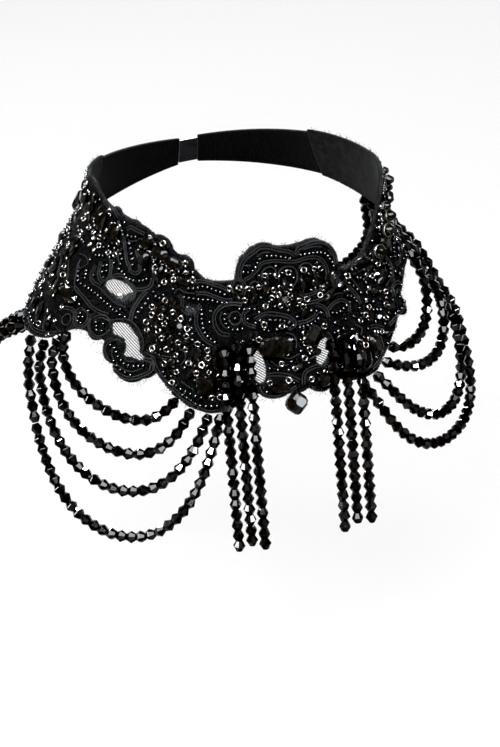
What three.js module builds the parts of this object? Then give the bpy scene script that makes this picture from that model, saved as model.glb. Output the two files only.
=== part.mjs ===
// Beaded lace choker: a flared lace collar, a ribbon closure at the nape, twelve large sewn stones,
// eight side swags, six straight drops and two back swags of bicone beads.
// Millimetres and degrees. +Z is up as worn, -Y is the throat, +X is the wearer's left.
// The origin lies on the axis of the neck, at the level where the collar leaves the throat.
// A place on the collar is an angle round the neck (0 at the throat, +90 at the wearer's left)
// and a height.
import * as THREE from 'three';

// ---- driving dimensions ----
const WALL = 1.8; // lace, cords and backing together
const RELIEF = 1.1; // how far the corded motifs stand out of the wall
const SEAM_GAP = 0.3; // between neighbouring pieces
const FLARE_SOFTNESS = 6; // how gently the wall turns from the neck to the flare
const BEAD_DIAMETER = 4.9;
const BEAD_PITCH = 4.6;
const THREAD_RADIUS = 0.55; // section left between two beads
const LACE_END = 130; // the lace stops here on both sides
const BAND_END = 176; // the ribbon stops here on both sides
const NAPE_LOW = 24; // lower and upper edge of the ribbon at the nape
const NAPE_HIGH = 37;
const LACE_LOW = -40; // heights between which the lace lies
const LACE_HIGH = 59;
const CELL_ANGLE = 3.33; // size of the lace's facets
const CELL_HEIGHT = 4;
const LOBE_SLOPE = 2.5; // a rounded motif reaches its full relief this far inside its edge
const BAND_SLOPE = 1.2; // and a corded band this far
const BAND_STEPS = 12; // places along a band at which its distance is measured
const SEAT_SAMPLES = 12; // places across a stone at which the lace under it is felt
const SWAG_STEPS = 24; // places along a swag that fix its curve
const BAND_INSET = 1; // the ribbon's edges lie inside the lace's, and the clasp's inside its

// One record per row, its fields named by the heading.
const table = (heading, rows) => {
  const names = heading.split(' ');
  return rows.map((row) => Object.fromEntries(names.map((name, i) => [name, row[i]])));
};

// The wall's section every 30 degrees: a straight neck above the seat, a flare below it.
const SECTIONS = table('angle neck seat flare', [
  [-180, 57.0, 44, 0.40],
  [-150, 56.0, 42, 0.50],
  [-120, 56.0, 39, 0.66],
  [-90, 57.0, 36, 0.52],
  [-60, 58.0, 20, 0.36],
  [-30, 57.5, 4, 0.30],
  [0, 57.5, 0, 0.28],
  [30, 58.0, 3, 0.30],
  [60, 59.0, 14, 0.37],
  [90, 58.5, 20, 0.46],
  [120, 58.5, 32, 0.58],
  [150, 58.0, 40, 0.48],
  [180, 57.0, 44, 0.40],
]);

// The lace's upper edge, without the lobes.
const RIM = table('angle height', [
  [-130, 44], [-108, 46], [-88, 47], [-78, 42], [-66, 39], [-55, 36], [-46, 30], [-37, 22],
  [-31, 16], [-22, 15], [-8, 16], [12, 15], [26, 11], [35, 12], [44, 19], [53, 27], [63, 33],
  [76, 37], [100, 37], [130, 38],
]);

// The lace's lower edge, without the lobes.
const HEM = table('angle height', [
  [-130, 14], [-122, 2], [-112, -14], [-100, -18], [-90, -16], [-80, -9], [-70, -9], [-60, -9],
  [-50, -19.5], [-43, -29], [-36, -34.5], [-26, -36], [-18, -31], [-11, -29], [-2, -32.5], [10, -29],
  [18, -33], [29, -33], [35, -28], [44, -20], [52, -11], [62, -4.5], [72, -3], [80, 4], [92, 9],
  [112, 8], [130, 14],
]);

// Rounded motifs that scallop the edges: half sizes in mm, turn from level in degrees.
const LOBES = table('motif angle height half_long half_high turn', [
  ['crest_left', -10.5, 19.5, 9, 9.8, 0],
  ['crest_middle', 3, 18, 10.5, 8.7, 0],
  ['crest_right', 13.2, 16.5, 9.4, 10.2, 0],
  ['scallop_1', -70, 37, 3.6, 4.5, 0],
  ['scallop_2', -60, 33, 4.5, 5.2, 0],
  ['scallop_3', -49, 28, 5.5, 5.5, -30],
  ['scallop_4', -40, 21, 4.5, 5, -30],
  ['heart', -71.5, -6, 5, 5.2, 0],
  ['hook_head', -64.5, -13, 4.6, 5.4, 0],
  ['hook_bend', -58, -20.5, 6.5, 4.4, -15],
  ['hook_toe', -52.5, -19.5, 5, 3.6, 15],
  ['square_motif', -31, -28, 8.5, 8, 0],
  ['petal_left', -9, -28, 7.4, 4.8, 0],
  ['petal_right', 7, -29, 6, 4.8, -8],
  ['oval_petal', 48.5, -12, 4, 6.8, 25],
]);

// Openings cut through the lace, where only the fine net is left.
const WINDOWS = table('motif angle height half_long half_high turn', [
  ['upper', -66.8, 7.6, 7.4, 3.6, -24],
  ['elbow_arm', -63.5, -5.6, 5.2, 2.8, -18],
  ['elbow_leg', -58, -11.2, 2.9, 4.4, 15],
  ['throat_left', -14.2, -20.2, 2.9, 6.6, 6],
  ['throat_right', 10.2, -19, 2.9, 5.6, -26],
]);

// Corded bands that stand out of the wall: from, by way of, to, and their half width.
const BANDS = table('motif a0 h0 a1 h1 a2 h2 half_width', [
  ['crest_edge_left', -15, 17, -9, 28, 0, 21, 3],
  ['crest_edge_right', 3, 21, 15, 30, 21, 15, 3],
  ['rosette_arc', -22, 6, -36, 0, -26, -8, 2.4],
  ['upper_sweep', -41, 12, -32, 12, -20, 6, 2.4],
  ['side_sweep', -85, 15, -84, -2, -64, 0, 3],
  ['leaf_left', -67, 36, -52, 28, -61, 15, 3.2],
  ['leaf_right', 28, 8, 37, 12, 46, 10, 2.6],
  ['throat_loop', -13, -4, -3, 2, 2, -7, 2.2],
  ['hook', -66, -11, -60, -28, -51, -19, 2.6],
]);

// Large stones, each sewn on through its ends: shape, place, size along, across, depth, turn.
const STONES = table('name shape angle height long wide deep turn', [
  ['front_oblong_stone', 'oblong', -7.5, -13.2, 13.5, 7.5, 3.6, -4],
  ['hem_drop_stone', 'round', -3.4, -36, 10, 10, 4.4, 0],
  ['square_stone', 'oblong', -32.5, -25.5, 7.6, 7.4, 3.4, 0],
  ['side_navette_stone', 'navette', -86, 2, 13, 6, 3.2, -12],
  ['crest_stone_1', 'navette', -8.5, 12.5, 7.5, 3.4, 2.4, 82],
  ['crest_stone_2', 'navette', -1.5, 11, 7.5, 3.4, 2.4, 88],
  ['crest_stone_3', 'navette', 5, 10.5, 7.5, 3.6, 2.4, 94],
  ['crest_stone_4', 'navette', 11.5, 10.5, 7.5, 3.4, 2.4, 98],
  ['crest_stone_5', 'navette', 16.8, 9, 7, 3.2, 2.4, 106],
  ['slanted_stone', 'oblong', 6.5, -11.5, 8.5, 5.4, 3, 45],
  ['shoulder_stone_1', 'round', 50, 12, 6, 6, 3.2, 0],
  ['shoulder_stone_2', 'round', 67, 25, 6, 6, 3.2, 0],
]);

// Swags that hang from the hem. A lead carries the wearer's left ones over the shoulder first.
// Each one sags by its drop, fuller at the foot the higher its fullness, and bulges off the chest.
const SWAGS = table('name side_angle front_angle drop fullness bulge stretches', [
  ['right_swag_1', -82.5, -42, 13.5, 3.2, 9, 2],
  ['right_swag_2', -85.5, -37, 24.5, 2.9, 11.5, 3],
  ['right_swag_3', -91, -31.5, 39, 2.4, 11, 4],
  ['right_swag_4', -98.5, -27.8, 60, 2.8, 9, 5],
  ['left_swag_1', 75, 37.5, 8.5, 0.4, 5.5, 2],
  ['left_swag_2', 80, 33, 13, 0.3, 7.5, 3],
  ['left_swag_3', 79, 28.4, 29, 1.9, 9, 4],
  ['left_swag_4', 88, 22.4, 41, 3.6, 11.5, 5],
]);
const LEADS = table('name hem_angle shoulder_angle shoulder_height shoulder_off', [
  ['left_swag_1', 88, 75, -8, 2.8],
  ['left_swag_2', 93, 80, -18, 4],
  ['left_swag_3', 98, 79, -30, 5],
  ['left_swag_4', 103, 88, -25, 7],
]);

// Straight drops in front of the lace: where they are sewn on, and where they hang.
const DROPS = table('name top_angle top_height low_angle beads', [
  ['right_drop_1', -25.4, -11, -25.4, 19],
  ['right_drop_2', -21, -9, -21.2, 19],
  ['right_drop_3', -16.6, -11, -17.1, 19],
  ['left_drop_1', 12.2, -15, 10.2, 18],
  ['left_drop_2', 16.8, -13, 15.1, 18],
  ['left_drop_3', 21.4, -15, 20.5, 18],
]);
const DROP_BEND = -30; // they follow the lace to this height and hang plumb below it

// The two back swags hang from the hem at the right shoulder, round the back, to the left one.
const BACK_SWAGS = table('name right_angle left_angle', [
  ['back_swag_1', -110, -247],
  ['back_swag_2', -105, -252],
]);
const BACK_ROUTE = table('name angle radius height', [
  ['back_swag_1', -112, 100, -21],
  ['back_swag_1', -117, 106, -28],
  ['back_swag_1', -127, 105, -30],
  ['back_swag_1', -142, 96, -33],
  ['back_swag_1', -180, 84, -44],
  ['back_swag_1', -222, 80, -38],
  ['back_swag_1', -242, 78, -16],
  ['back_swag_2', -106.5, 99, -20],
  ['back_swag_2', -110, 105, -27],
  ['back_swag_2', -116, 111, -34],
  ['back_swag_2', -127, 111, -38],
  ['back_swag_2', -142, 102, -42],
  ['back_swag_2', -180, 90, -54],
  ['back_swag_2', -222, 85, -48],
  ['back_swag_2', -246, 83, -24],
]);
const BACK_SWAG_STRETCHES = 4;

const LACE_COLOUR = new THREE.MeshStandardMaterial({ color: 0x17171a, roughness: 0.9 });
const RIBBON_COLOUR = new THREE.MeshStandardMaterial({ color: 0x1b1b1d, roughness: 0.8 });
const GLASS_COLOUR = new THREE.MeshStandardMaterial({ color: 0x08080a, roughness: 0.1 });
const METAL_COLOUR = new THREE.MeshStandardMaterial({
  color: 0x5a5a5e, roughness: 0.3, metalness: 1,
});

// ---- small maths ----
const radians = THREE.MathUtils.degToRad;
const lerp = THREE.MathUtils.lerp;

// A smooth value between the rows of a table sorted by angle.
function smooth(rows, key, angle) {
  const last = rows.length - 1;
  let i = rows.findIndex((row) => row.angle > angle) - 1;
  if (i < 0) i = angle < rows[0].angle ? 0 : last - 1;
  const [a, b] = [rows[i], rows[i + 1]];
  const span = b.angle - a.angle;
  const t = THREE.MathUtils.clamp((angle - a.angle) / span, 0, 1);
  const slope = (p, q) => (q[key] - p[key]) / (q.angle - p.angle);
  const slopeIn = i > 0 ? slope(rows[i - 1], b) : slope(a, b);
  const slopeOut = i + 1 < last ? slope(a, rows[i + 2]) : slope(a, b);
  const t2 = t * t;
  const t3 = t2 * t;
  return a[key] * (2 * t3 - 3 * t2 + 1) + b[key] * (3 * t2 - 2 * t3)
    + span * (slopeIn * (t3 - 2 * t2 + t) + slopeOut * (t3 - t2));
}

const wrapAngle = (angle) => THREE.MathUtils.euclideanModulo(angle + 180, 360) - 180;

// Radius of the inner face of the wall.
function wallRadius(angle, height) {
  const at = wrapAngle(angle);
  const below = smooth(SECTIONS, 'seat', at) - height;
  const flared = FLARE_SOFTNESS * Math.log1p(Math.exp(below / FLARE_SOFTNESS));
  return smooth(SECTIONS, 'neck', at) + smooth(SECTIONS, 'flare', at) * flared;
}

const polar = (angle, radius, height) => new THREE.Vector3(
  radius * Math.sin(radians(angle)), -radius * Math.cos(radians(angle)), height);
const onWall = (angle, height, off) => polar(angle, wallRadius(angle, height) + off, height);

// Millimetres on the wall from a motif's centre to a place, along and across the motif.
function motifOffset(motif, angle, height) {
  const perDegree = radians(1) * wallRadius(motif.angle, motif.height);
  const x = (angle - motif.angle) * perDegree;
  const y = height - motif.height;
  const c = Math.cos(radians(motif.turn));
  const s = Math.sin(radians(motif.turn));
  return [x * c + y * s, y * c - x * s];
}

// About how far inside an ellipse a place lies, in mm.
function insideEllipse(motif, angle, height) {
  const [x, y] = motifOffset(motif, angle, height);
  const reach = Math.hypot(x / motif.half_long, y / motif.half_high);
  return (1 - reach) * Math.min(motif.half_long, motif.half_high);
}

// How far inside a curved band a place lies, in mm.
function insideBand(band, angle, height) {
  const perDegree = radians(1) * wallRadius(band.a1, band.h1);
  let nearest = Infinity;
  for (let i = 0; i <= BAND_STEPS; i += 1) {
    const t = i / BAND_STEPS;
    const [p, q, r] = [(1 - t) ** 2, 2 * t * (1 - t), t * t];
    const a = p * band.a0 + q * band.a1 + r * band.a2;
    const h = p * band.h0 + q * band.h1 + r * band.h2;
    nearest = Math.min(nearest, Math.hypot((angle - a) * perDegree, height - h));
  }
  return band.half_width - nearest;
}

// Positive on the lace, negative off it and in its openings.
function laceField(angle, height) {
  let inside = Math.min(smooth(RIM, 'height', angle) - height,
    height - smooth(HEM, 'height', angle));
  for (const lobe of LOBES) inside = Math.max(inside, insideEllipse(lobe, angle, height));
  for (const window of WINDOWS) inside = Math.min(inside, -insideEllipse(window, angle, height));
  return Math.min(inside, LACE_END - Math.abs(angle));
}

// Height of the corded motifs above the wall.
function reliefAt(angle, height) {
  let rise = 0;
  for (const lobe of LOBES) rise = Math.max(rise, insideEllipse(lobe, angle, height) / LOBE_SLOPE);
  for (const band of BANDS) rise = Math.max(rise, insideBand(band, angle, height) / BAND_SLOPE);
  return RELIEF * THREE.MathUtils.clamp(rise, 0, 1);
}

// ---- solids ----
function solid(vertices, triangles) {
  const geometry = new THREE.BufferGeometry();
  const positions = vertices.flatMap((v) => [v.x, v.y, v.z]);
  geometry.setAttribute('position', new THREE.Float32BufferAttribute(positions, 3));
  geometry.setIndex(triangles.flat());
  geometry.computeVertexNormals();
  return geometry;
}

// A closed shell over the places where a field is positive. Corners of the facets lie on a grid
// of angles and heights, and where an edge of the grid crosses the outline. Four whole facets
// that lie together become one, and its sides keep a corner in the middle beside smaller ones.
function fieldShell({ field, from, to, low, high, columns, rows, outer, inner }) {
  const angleAt = (i) => lerp(from, to, i / columns);
  const heightAt = (j) => lerp(low, high, j / rows);
  const value = (i, j) => field(angleAt(i), heightAt(j)) || 1e-6;
  const grid = Array.from({ length: columns + 1 }, (_, i) => (
    Array.from({ length: rows + 1 }, (__, j) => value(i, j))));
  const places = [];
  const known = new Map();
  const place = (key, angle, height) => {
    if (!known.has(key)) known.set(key, places.push([angle, height]) - 1);
    return known.get(key);
  };
  const node = (i, j) => place(`${i},${j}`, angleAt(i), heightAt(j));
  const crossing = (i, j, k, l) => {
    const [a, b] = [grid[i][j], grid[k][l]];
    const t = THREE.MathUtils.clamp(a / (a - b), 0.12, 0.88);
    const ends = [`${i},${j}`, `${k},${l}`].sort().join('|');
    return place(ends, lerp(angleAt(i), angleAt(k), t), lerp(heightAt(j), heightAt(l), t));
  };
  const inRange = (i, j) => i >= 0 && j >= 0 && i < columns && j < rows;
  const whole = (i, j) => inRange(i, j)
    && grid[i][j] > 0 && grid[i + 1][j] > 0 && grid[i][j + 1] > 0 && grid[i + 1][j + 1] > 0;
  const merged = (i, j) => {
    const [p, q] = [i - (i % 2), j - (j % 2)];
    return whole(p, q) && whole(p + 1, q) && whole(p, q + 1) && whole(p + 1, q + 1);
  };
  const polygons = [];
  for (let i = 0; i < columns; i += 1) {
    for (let j = 0; j < rows; j += 1) {
      if (merged(i, j)) {
        if (i % 2 === 0 && j % 2 === 0) {
          const around = [
            node(i, j), !merged(i, j - 1) && node(i + 1, j),
            node(i + 2, j), !merged(i + 2, j) && node(i + 2, j + 1),
            node(i + 2, j + 2), !merged(i, j + 2) && node(i + 1, j + 2),
            node(i, j + 2), !merged(i - 1, j) && node(i, j + 1),
          ];
          const start = Math.max(0, around.findIndex((p, n) => n % 2 === 1 && p !== false));
          const turned = [...around.slice(start), ...around.slice(0, start)];
          polygons.push(turned.filter((p) => p !== false));
        }
        continue;
      }
      const corners = [[i, j], [i + 1, j], [i + 1, j + 1], [i, j + 1]];
      const inside = corners.map(([k, l]) => grid[k][l] > 0);
      const pieces = [[]];
      corners.forEach((corner, n) => {
        const next = (n + 1) % 4;
        if (inside[n]) pieces.at(-1).push(node(...corner));
        if (inside[n] !== inside[next]) {
          pieces.at(-1).push(crossing(...corner, ...corners[next]));
          if (inside[n]) pieces.push([]);
        }
      });
      const [first, ...others] = pieces;
      if (others.length && inside[0]) others.at(-1).push(...first);
      else others.push(first);
      polygons.push(...others.filter((polygon) => polygon.length > 2));
    }
  }
  const faces = polygons.flatMap((p) => p.slice(2).map((_, n) => [p[0], p[n + 1], p[n + 2]]));
  const directed = new Set(faces.flatMap(([a, b, c]) => [`${a}>${b}`, `${b}>${c}`, `${c}>${a}`]));
  const count = places.length;
  const sides = [];
  for (const edge of directed) {
    const [a, b] = edge.split('>').map(Number);
    if (!directed.has(`${b}>${a}`)) sides.push([b, a, a + count], [b, a + count, b + count]);
  }
  const back = faces.map(([a, b, c]) => [a + count, c + count, b + count]);
  const vertices = [...places.map((p) => outer(...p)), ...places.map((p) => inner(...p))];
  return solid(vertices, [...faces, ...back, ...sides]);
}

// A curved plate on the wall between two angles, with straight edges.
function plate(from, to, lowAt, highAt, columns) {
  return fieldShell({
    field: () => 1,
    from, to, low: 0, high: 1, columns, rows: 2,
    outer: (a, s) => onWall(a, lerp(lowAt(a), highAt(a), s), WALL),
    inner: (a, s) => onWall(a, lerp(lowAt(a), highAt(a), s), 0),
  });
}

// A string of bicone beads along a curve, four-sided, in one closed solid.
function beadString(curve, from, to, beads) {
  const rings = [];
  const steps = beads * 2;
  for (let i = 0; i <= steps; i += 1) {
    const u = lerp(from, to, i / steps);
    const centre = curve.getPointAt(u);
    const along = curve.getTangentAt(u);
    const out = new THREE.Vector3(centre.x, centre.y, 0).normalize();
    const side = new THREE.Vector3().crossVectors(along, out).normalize();
    out.crossVectors(side, along).normalize();
    const radius = i % 2 ? BEAD_DIAMETER / 2 : THREAD_RADIUS;
    for (const [x, y] of [[1, 0], [0, 1], [-1, 0], [0, -1]]) {
      const corner = centre.clone().addScaledVector(out, x * radius);
      rings.push(corner.addScaledVector(side, y * radius));
    }
  }
  const triangles = [[0, 3, 2], [0, 2, 1]];
  for (let i = 0; i < steps; i += 1) {
    for (let k = 0; k < 4; k += 1) {
      const [a, b] = [i * 4 + k, i * 4 + ((k + 1) % 4)];
      triangles.push([a, b, b + 4], [a, b + 4, a + 4]);
    }
  }
  const end = steps * 4;
  triangles.push([end, end + 1, end + 2], [end, end + 2, end + 3]);
  return solid(rings, triangles);
}

// A flat-backed faceted stone: its outline at the girdle, a smaller table above it.
const STONE_OUTLINES = {
  navette: [[1, 0], [0.55, 0.75], [0, 1], [-0.55, 0.75], [-1, 0], [-0.55, -0.75], [0, -1],
    [0.55, -0.75]],
  oblong: [[1, 0.55], [0.7, 1], [-0.7, 1], [-1, 0.55], [-1, -0.55], [-0.7, -1], [0.7, -1],
    [1, -0.55]],
  round: Array.from({ length: 8 }, (_, i) => [Math.cos(Math.PI * i / 4), Math.sin(Math.PI * i / 4)]),
};

function stoneSolid({ shape, long, wide, deep }) {
  const outline = STONE_OUTLINES[shape];
  const n = outline.length;
  const ring = (scale, level) => outline.map(([x, y]) => (
    new THREE.Vector3(x * long * scale / 2, y * wide * scale / 2, level)));
  const vertices = [...ring(0.8, 0), ...ring(1, deep * 0.4), ...ring(0.55, deep)];
  const triangles = [];
  for (let i = 1; i < n - 1; i += 1) {
    triangles.push([0, i + 1, i], [2 * n, 2 * n + i, 2 * n + i + 1]);
  }
  for (const level of [0, n]) {
    for (let i = 0; i < n; i += 1) {
      const [a, b] = [level + i, level + ((i + 1) % n)];
      triangles.push([a, b, b + n], [a, b + n, a + n]);
    }
  }
  return solid(vertices, triangles);
}

// ---- the pieces ----
const choker = new THREE.Group();

function addPiece(name, geometry, material) {
  const mesh = new THREE.Mesh(geometry, material);
  mesh.name = name;
  choker.add(mesh);
  return mesh;
}

function addLace() {
  return addPiece('lace_collar', fieldShell({
    field: laceField,
    from: -LACE_END, to: LACE_END, low: LACE_LOW, high: LACE_HIGH,
    columns: 2 * Math.round(LACE_END / CELL_ANGLE),
    rows: 2 * Math.round((LACE_HIGH - LACE_LOW) / CELL_HEIGHT / 2),
    outer: (a, h) => onWall(a, h, WALL + reliefAt(a, h)),
    inner: (a, h) => onWall(a, h, 0),
  }), LACE_COLOUR);
}

// Two plain ribbons run from the lace to the nape, where one flat clasp closes them.
function addClosure() {
  const gap = SEAM_GAP / radians(1) / SECTIONS[0].neck;
  const [near, far] = [LACE_END + gap, BAND_END];
  const taper = (angle) => (Math.abs(angle) - LACE_END) / (BAND_END - LACE_END);
  for (const [side, from, to] of [['left', near, far], ['right', -far, -near]]) {
    const laceTop = smooth(RIM, 'height', side === 'left' ? LACE_END : -LACE_END) - BAND_INSET;
    const laceFoot = smooth(HEM, 'height', LACE_END) + BAND_INSET;
    const lowAt = (angle) => lerp(laceFoot, NAPE_LOW, taper(angle));
    const highAt = (angle) => lerp(laceTop, NAPE_HIGH, taper(angle));
    addPiece(`back_band_${side}`, plate(from, to, lowAt, highAt, 8), RIBBON_COLOUR);
  }
  const [low, high] = [() => NAPE_LOW + BAND_INSET, () => NAPE_HIGH - BAND_INSET];
  const clasp = plate(BAND_END + gap, 360 - BAND_END - gap, low, high, 4);
  addPiece('nape_clasp', clasp, METAL_COLOUR);
}

// How far the lace's outer face lies from a place, against a direction that points off it.
function laceRise(place, out) {
  const above = place.clone().addScaledVector(out, 20);
  const [hit] = new THREE.Raycaster(above, out.clone().negate()).intersectObject(lace);
  return hit ? 20 - hit.distance : 0;
}

// Stones lie on the highest cord under them, with their backs along the wall.
function addStones() {
  for (const stone of STONES) {
    const { angle, height, turn } = stone;
    const step = 1;
    const east = onWall(angle + step, height, 0).sub(onWall(angle - step, height, 0)).normalize();
    const up = onWall(angle, height + step, 0).sub(onWall(angle, height - step, 0)).normalize();
    const out = new THREE.Vector3().crossVectors(east, up).normalize();
    up.crossVectors(out, east);
    const mesh = addPiece(stone.name, stoneSolid(stone), GLASS_COLOUR);
    mesh.quaternion.setFromRotationMatrix(new THREE.Matrix4().makeBasis(east, up, out));
    mesh.rotateZ(radians(turn));
    mesh.position.copy(onWall(angle, height, 0));
    mesh.position.addScaledVector(out, seatUnder(stone, mesh, out));
  }
}

// How far off the wall's inner face a stone's back lies when it rests on the lace.
function seatUnder({ long, wide }, mesh, out) {
  let seat = 0;
  for (let i = 0; i <= SEAT_SAMPLES; i += 1) {
    for (let j = 0; j <= SEAT_SAMPLES; j += 1) {
      const local = new THREE.Vector3(
        (i / SEAT_SAMPLES - 0.5) * long, (j / SEAT_SAMPLES - 0.5) * wide, 0);
      const place = local.applyQuaternion(mesh.quaternion).add(mesh.position);
      seat = Math.max(seat, laceRise(place, out));
    }
  }
  return seat + SEAM_GAP;
}

// Splits a curve into stretches of whole beads, with a gap between two stretches.
function addString(name, points, stretches, beadCount) {
  const curve = new THREE.CatmullRomCurve3(points, false, 'centripetal');
  curve.arcLengthDivisions = 800;
  const length = curve.getLength();
  const beads = beadCount ?? Math.round(length / BEAD_PITCH);
  const gap = SEAM_GAP / length / 2;
  let done = 0;
  for (let i = 1; i <= stretches; i += 1) {
    const end = Math.round(beads * i / stretches);
    const from = done / beads + (done ? gap : 0);
    const to = end / beads - (end < beads ? gap : 0);
    const label = stretches > 1 ? `${name}_${i}` : name;
    addPiece(label, beadString(curve, from, to, end - done), GLASS_COLOUR);
    done = end;
  }
}

// Height of the lace's lower edge, lobes included.
function laceEdgeHeight(angle) {
  let height = smooth(HEM, 'height', angle) + 2;
  while (laceField(angle, height) > 0) height -= 0.25;
  return height;
}

// Where a string is sewn to the lower edge.
function hemPoint(angle) {
  const at = wrapAngle(angle);
  return onWall(at, laceEdgeHeight(at) - SEAM_GAP - THREAD_RADIUS, WALL / 2);
}

function addSwags() {
  for (const swag of SWAGS) {
    const lead = LEADS.find((row) => row.name === swag.name);
    const start = lead
      ? onWall(lead.shoulder_angle, lead.shoulder_height, lead.shoulder_off)
      : hemPoint(swag.side_angle);
    const end = hemPoint(swag.front_angle);
    const points = lead ? leadPoints(lead) : [];
    const reach = (p) => Math.hypot(p.x, p.y);
    const full = Math.cosh(swag.fullness);
    for (let i = 0; i <= SWAG_STEPS; i += 1) {
      const t = i / SWAG_STEPS;
      const sag = (full - Math.cosh(swag.fullness * (2 * t - 1))) / (full - 1);
      const angle = lerp(swag.side_angle, swag.front_angle, t);
      const radius = lerp(reach(start), reach(end), t) + swag.bulge * Math.sqrt(sag);
      points.push(polar(angle, radius, lerp(start.z, end.z, t) - swag.drop * sag));
    }
    addString(swag.name, points, swag.stretches);
  }
}

// From the hem, straight down past its edge, then over the shoulder to where the swag begins.
function leadPoints({ hem_angle, shoulder_angle, shoulder_height, shoulder_off }) {
  const top = hemPoint(hem_angle);
  const below = onWall(hem_angle, top.z - BEAD_PITCH, WALL);
  const halfAngle = (hem_angle + shoulder_angle) / 2;
  const half = onWall(halfAngle, (below.z + shoulder_height) / 2, shoulder_off);
  return [top, below, half];
}

// Each drop starts on the lace itself, and its beads lie in front of it.
function addDrops() {
  const off = WALL + RELIEF + SEAM_GAP + BEAD_DIAMETER / 2;
  for (const drop of DROPS) {
    const { top_angle, top_height, low_angle } = drop;
    const outward = polar(top_angle, 1, 0);
    const sewn = onWall(top_angle, top_height, 0);
    sewn.addScaledVector(outward, laceRise(sewn, outward) + SEAM_GAP + THREAD_RADIUS * 1.5);
    const firstBead = onWall(top_angle, top_height - BEAD_PITCH / 2, off);
    const halfway = onWall((top_angle + low_angle) / 2, (top_height + DROP_BEND) / 2, off);
    const bend = onWall(low_angle, DROP_BEND, off);
    const radius = Math.hypot(bend.x, bend.y);
    const plumb = drop.beads * BEAD_PITCH - sewn.distanceTo(bend);
    const hanging = [1 / 3, 2 / 3, 1].map((t) => polar(low_angle, radius, DROP_BEND - t * plumb));
    addString(drop.name, [sewn, firstBead, halfway, bend, ...hanging], 1, drop.beads);
  }
}

function addBackSwags() {
  for (const { name, right_angle, left_angle } of BACK_SWAGS) {
    const route = BACK_ROUTE.filter((row) => row.name === name);
    const points = route.map((row) => polar(row.angle, row.radius, row.height));
    addString(name, [hemPoint(right_angle), ...points, hemPoint(left_angle)], BACK_SWAG_STRETCHES);
  }
}

const lace = addLace();
lace.updateMatrixWorld();
addClosure();
addStones();
addSwags();
addDrops();
addBackSwags();

export default choker;
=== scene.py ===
"""Looks of the beaded lace choker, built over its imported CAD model.

A place on the collar is an angle round the neck in degrees (0 at the throat, + towards the
wearer's left) and a height in mm. Lengths below are in mm until a mesh is made.
"""

import functools
import math

import bpy
import numpy as np
from mathutils import Matrix, Vector


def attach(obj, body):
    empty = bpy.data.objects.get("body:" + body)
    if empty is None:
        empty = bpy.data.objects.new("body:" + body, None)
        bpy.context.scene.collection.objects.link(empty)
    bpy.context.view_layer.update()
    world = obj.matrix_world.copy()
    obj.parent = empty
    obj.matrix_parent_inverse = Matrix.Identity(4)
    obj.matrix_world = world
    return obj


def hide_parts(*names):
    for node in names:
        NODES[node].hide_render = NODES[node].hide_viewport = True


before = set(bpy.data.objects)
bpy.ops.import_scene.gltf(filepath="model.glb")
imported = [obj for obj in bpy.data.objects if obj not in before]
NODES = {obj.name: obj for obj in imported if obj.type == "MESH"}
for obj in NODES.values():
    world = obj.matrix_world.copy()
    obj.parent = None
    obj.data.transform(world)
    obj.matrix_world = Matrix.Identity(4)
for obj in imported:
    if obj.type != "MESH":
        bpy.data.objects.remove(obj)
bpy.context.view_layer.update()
MM = 0.001
rng = np.random.default_rng(20)

# ---- the collar's form, as in the CAD ----
WALL, RELIEF, FLARE_SOFTNESS, LACE_END = 1.8, 1.1, 6.0, 130.0
LOBE_SLOPE, BAND_SLOPE = 2.5, 1.2
SECTIONS = np.array([  # angle, neck radius, seat height, flare
    (-180, 57.0, 44, 0.40), (-150, 56.0, 42, 0.50), (-120, 56.0, 39, 0.66), (-90, 57.0, 36, 0.52),
    (-60, 58.0, 20, 0.36), (-30, 57.5, 4, 0.30), (0, 57.5, 0, 0.28), (30, 58.0, 3, 0.30),
    (60, 59.0, 14, 0.37), (90, 58.5, 20, 0.46), (120, 58.5, 32, 0.58), (150, 58.0, 40, 0.48),
    (180, 57.0, 44, 0.40)])
RIM = np.array([
    (-130, 44), (-108, 46), (-88, 47), (-78, 42), (-66, 39), (-55, 36), (-46, 30), (-37, 22),
    (-31, 16), (-22, 15), (-8, 16), (12, 15), (26, 11), (35, 12), (44, 19), (53, 27), (63, 33),
    (76, 37), (100, 37), (130, 38)])
HEM = np.array([
    (-130, 14), (-122, 2), (-112, -14), (-100, -18), (-90, -16), (-80, -9), (-70, -9), (-60, -9),
    (-50, -19.5), (-43, -29), (-36, -34.5), (-26, -36), (-18, -31), (-11, -29), (-2, -32.5),
    (10, -29), (18, -33), (29, -33), (35, -28), (44, -20), (52, -11), (62, -4.5), (72, -3),
    (80, 4), (92, 9), (112, 8), (130, 14)])
LOBES = {  # angle, height, half long, half high, turn
    "crest_left": (-10.5, 19.5, 9, 9.8, 0), "crest_middle": (3, 18, 10.5, 8.7, 0),
    "crest_right": (13.2, 16.5, 9.4, 10.2, 0), "scallop_1": (-70, 37, 3.6, 4.5, 0),
    "scallop_2": (-60, 33, 4.5, 5.2, 0), "scallop_3": (-49, 28, 5.5, 5.5, -30),
    "scallop_4": (-40, 21, 4.5, 5, -30), "heart": (-71.5, -6, 5, 5.2, 0),
    "hook_head": (-64.5, -13, 4.6, 5.4, 0), "hook_bend": (-58, -20.5, 6.5, 4.4, -15),
    "hook_toe": (-52.5, -19.5, 5, 3.6, 15), "square_motif": (-31, -28, 8.5, 8, 0),
    "petal_left": (-9, -28, 7.4, 4.8, 0), "petal_right": (7, -29, 6, 4.8, -8),
    "oval_petal": (48.5, -12, 4, 6.8, 25)}
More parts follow.
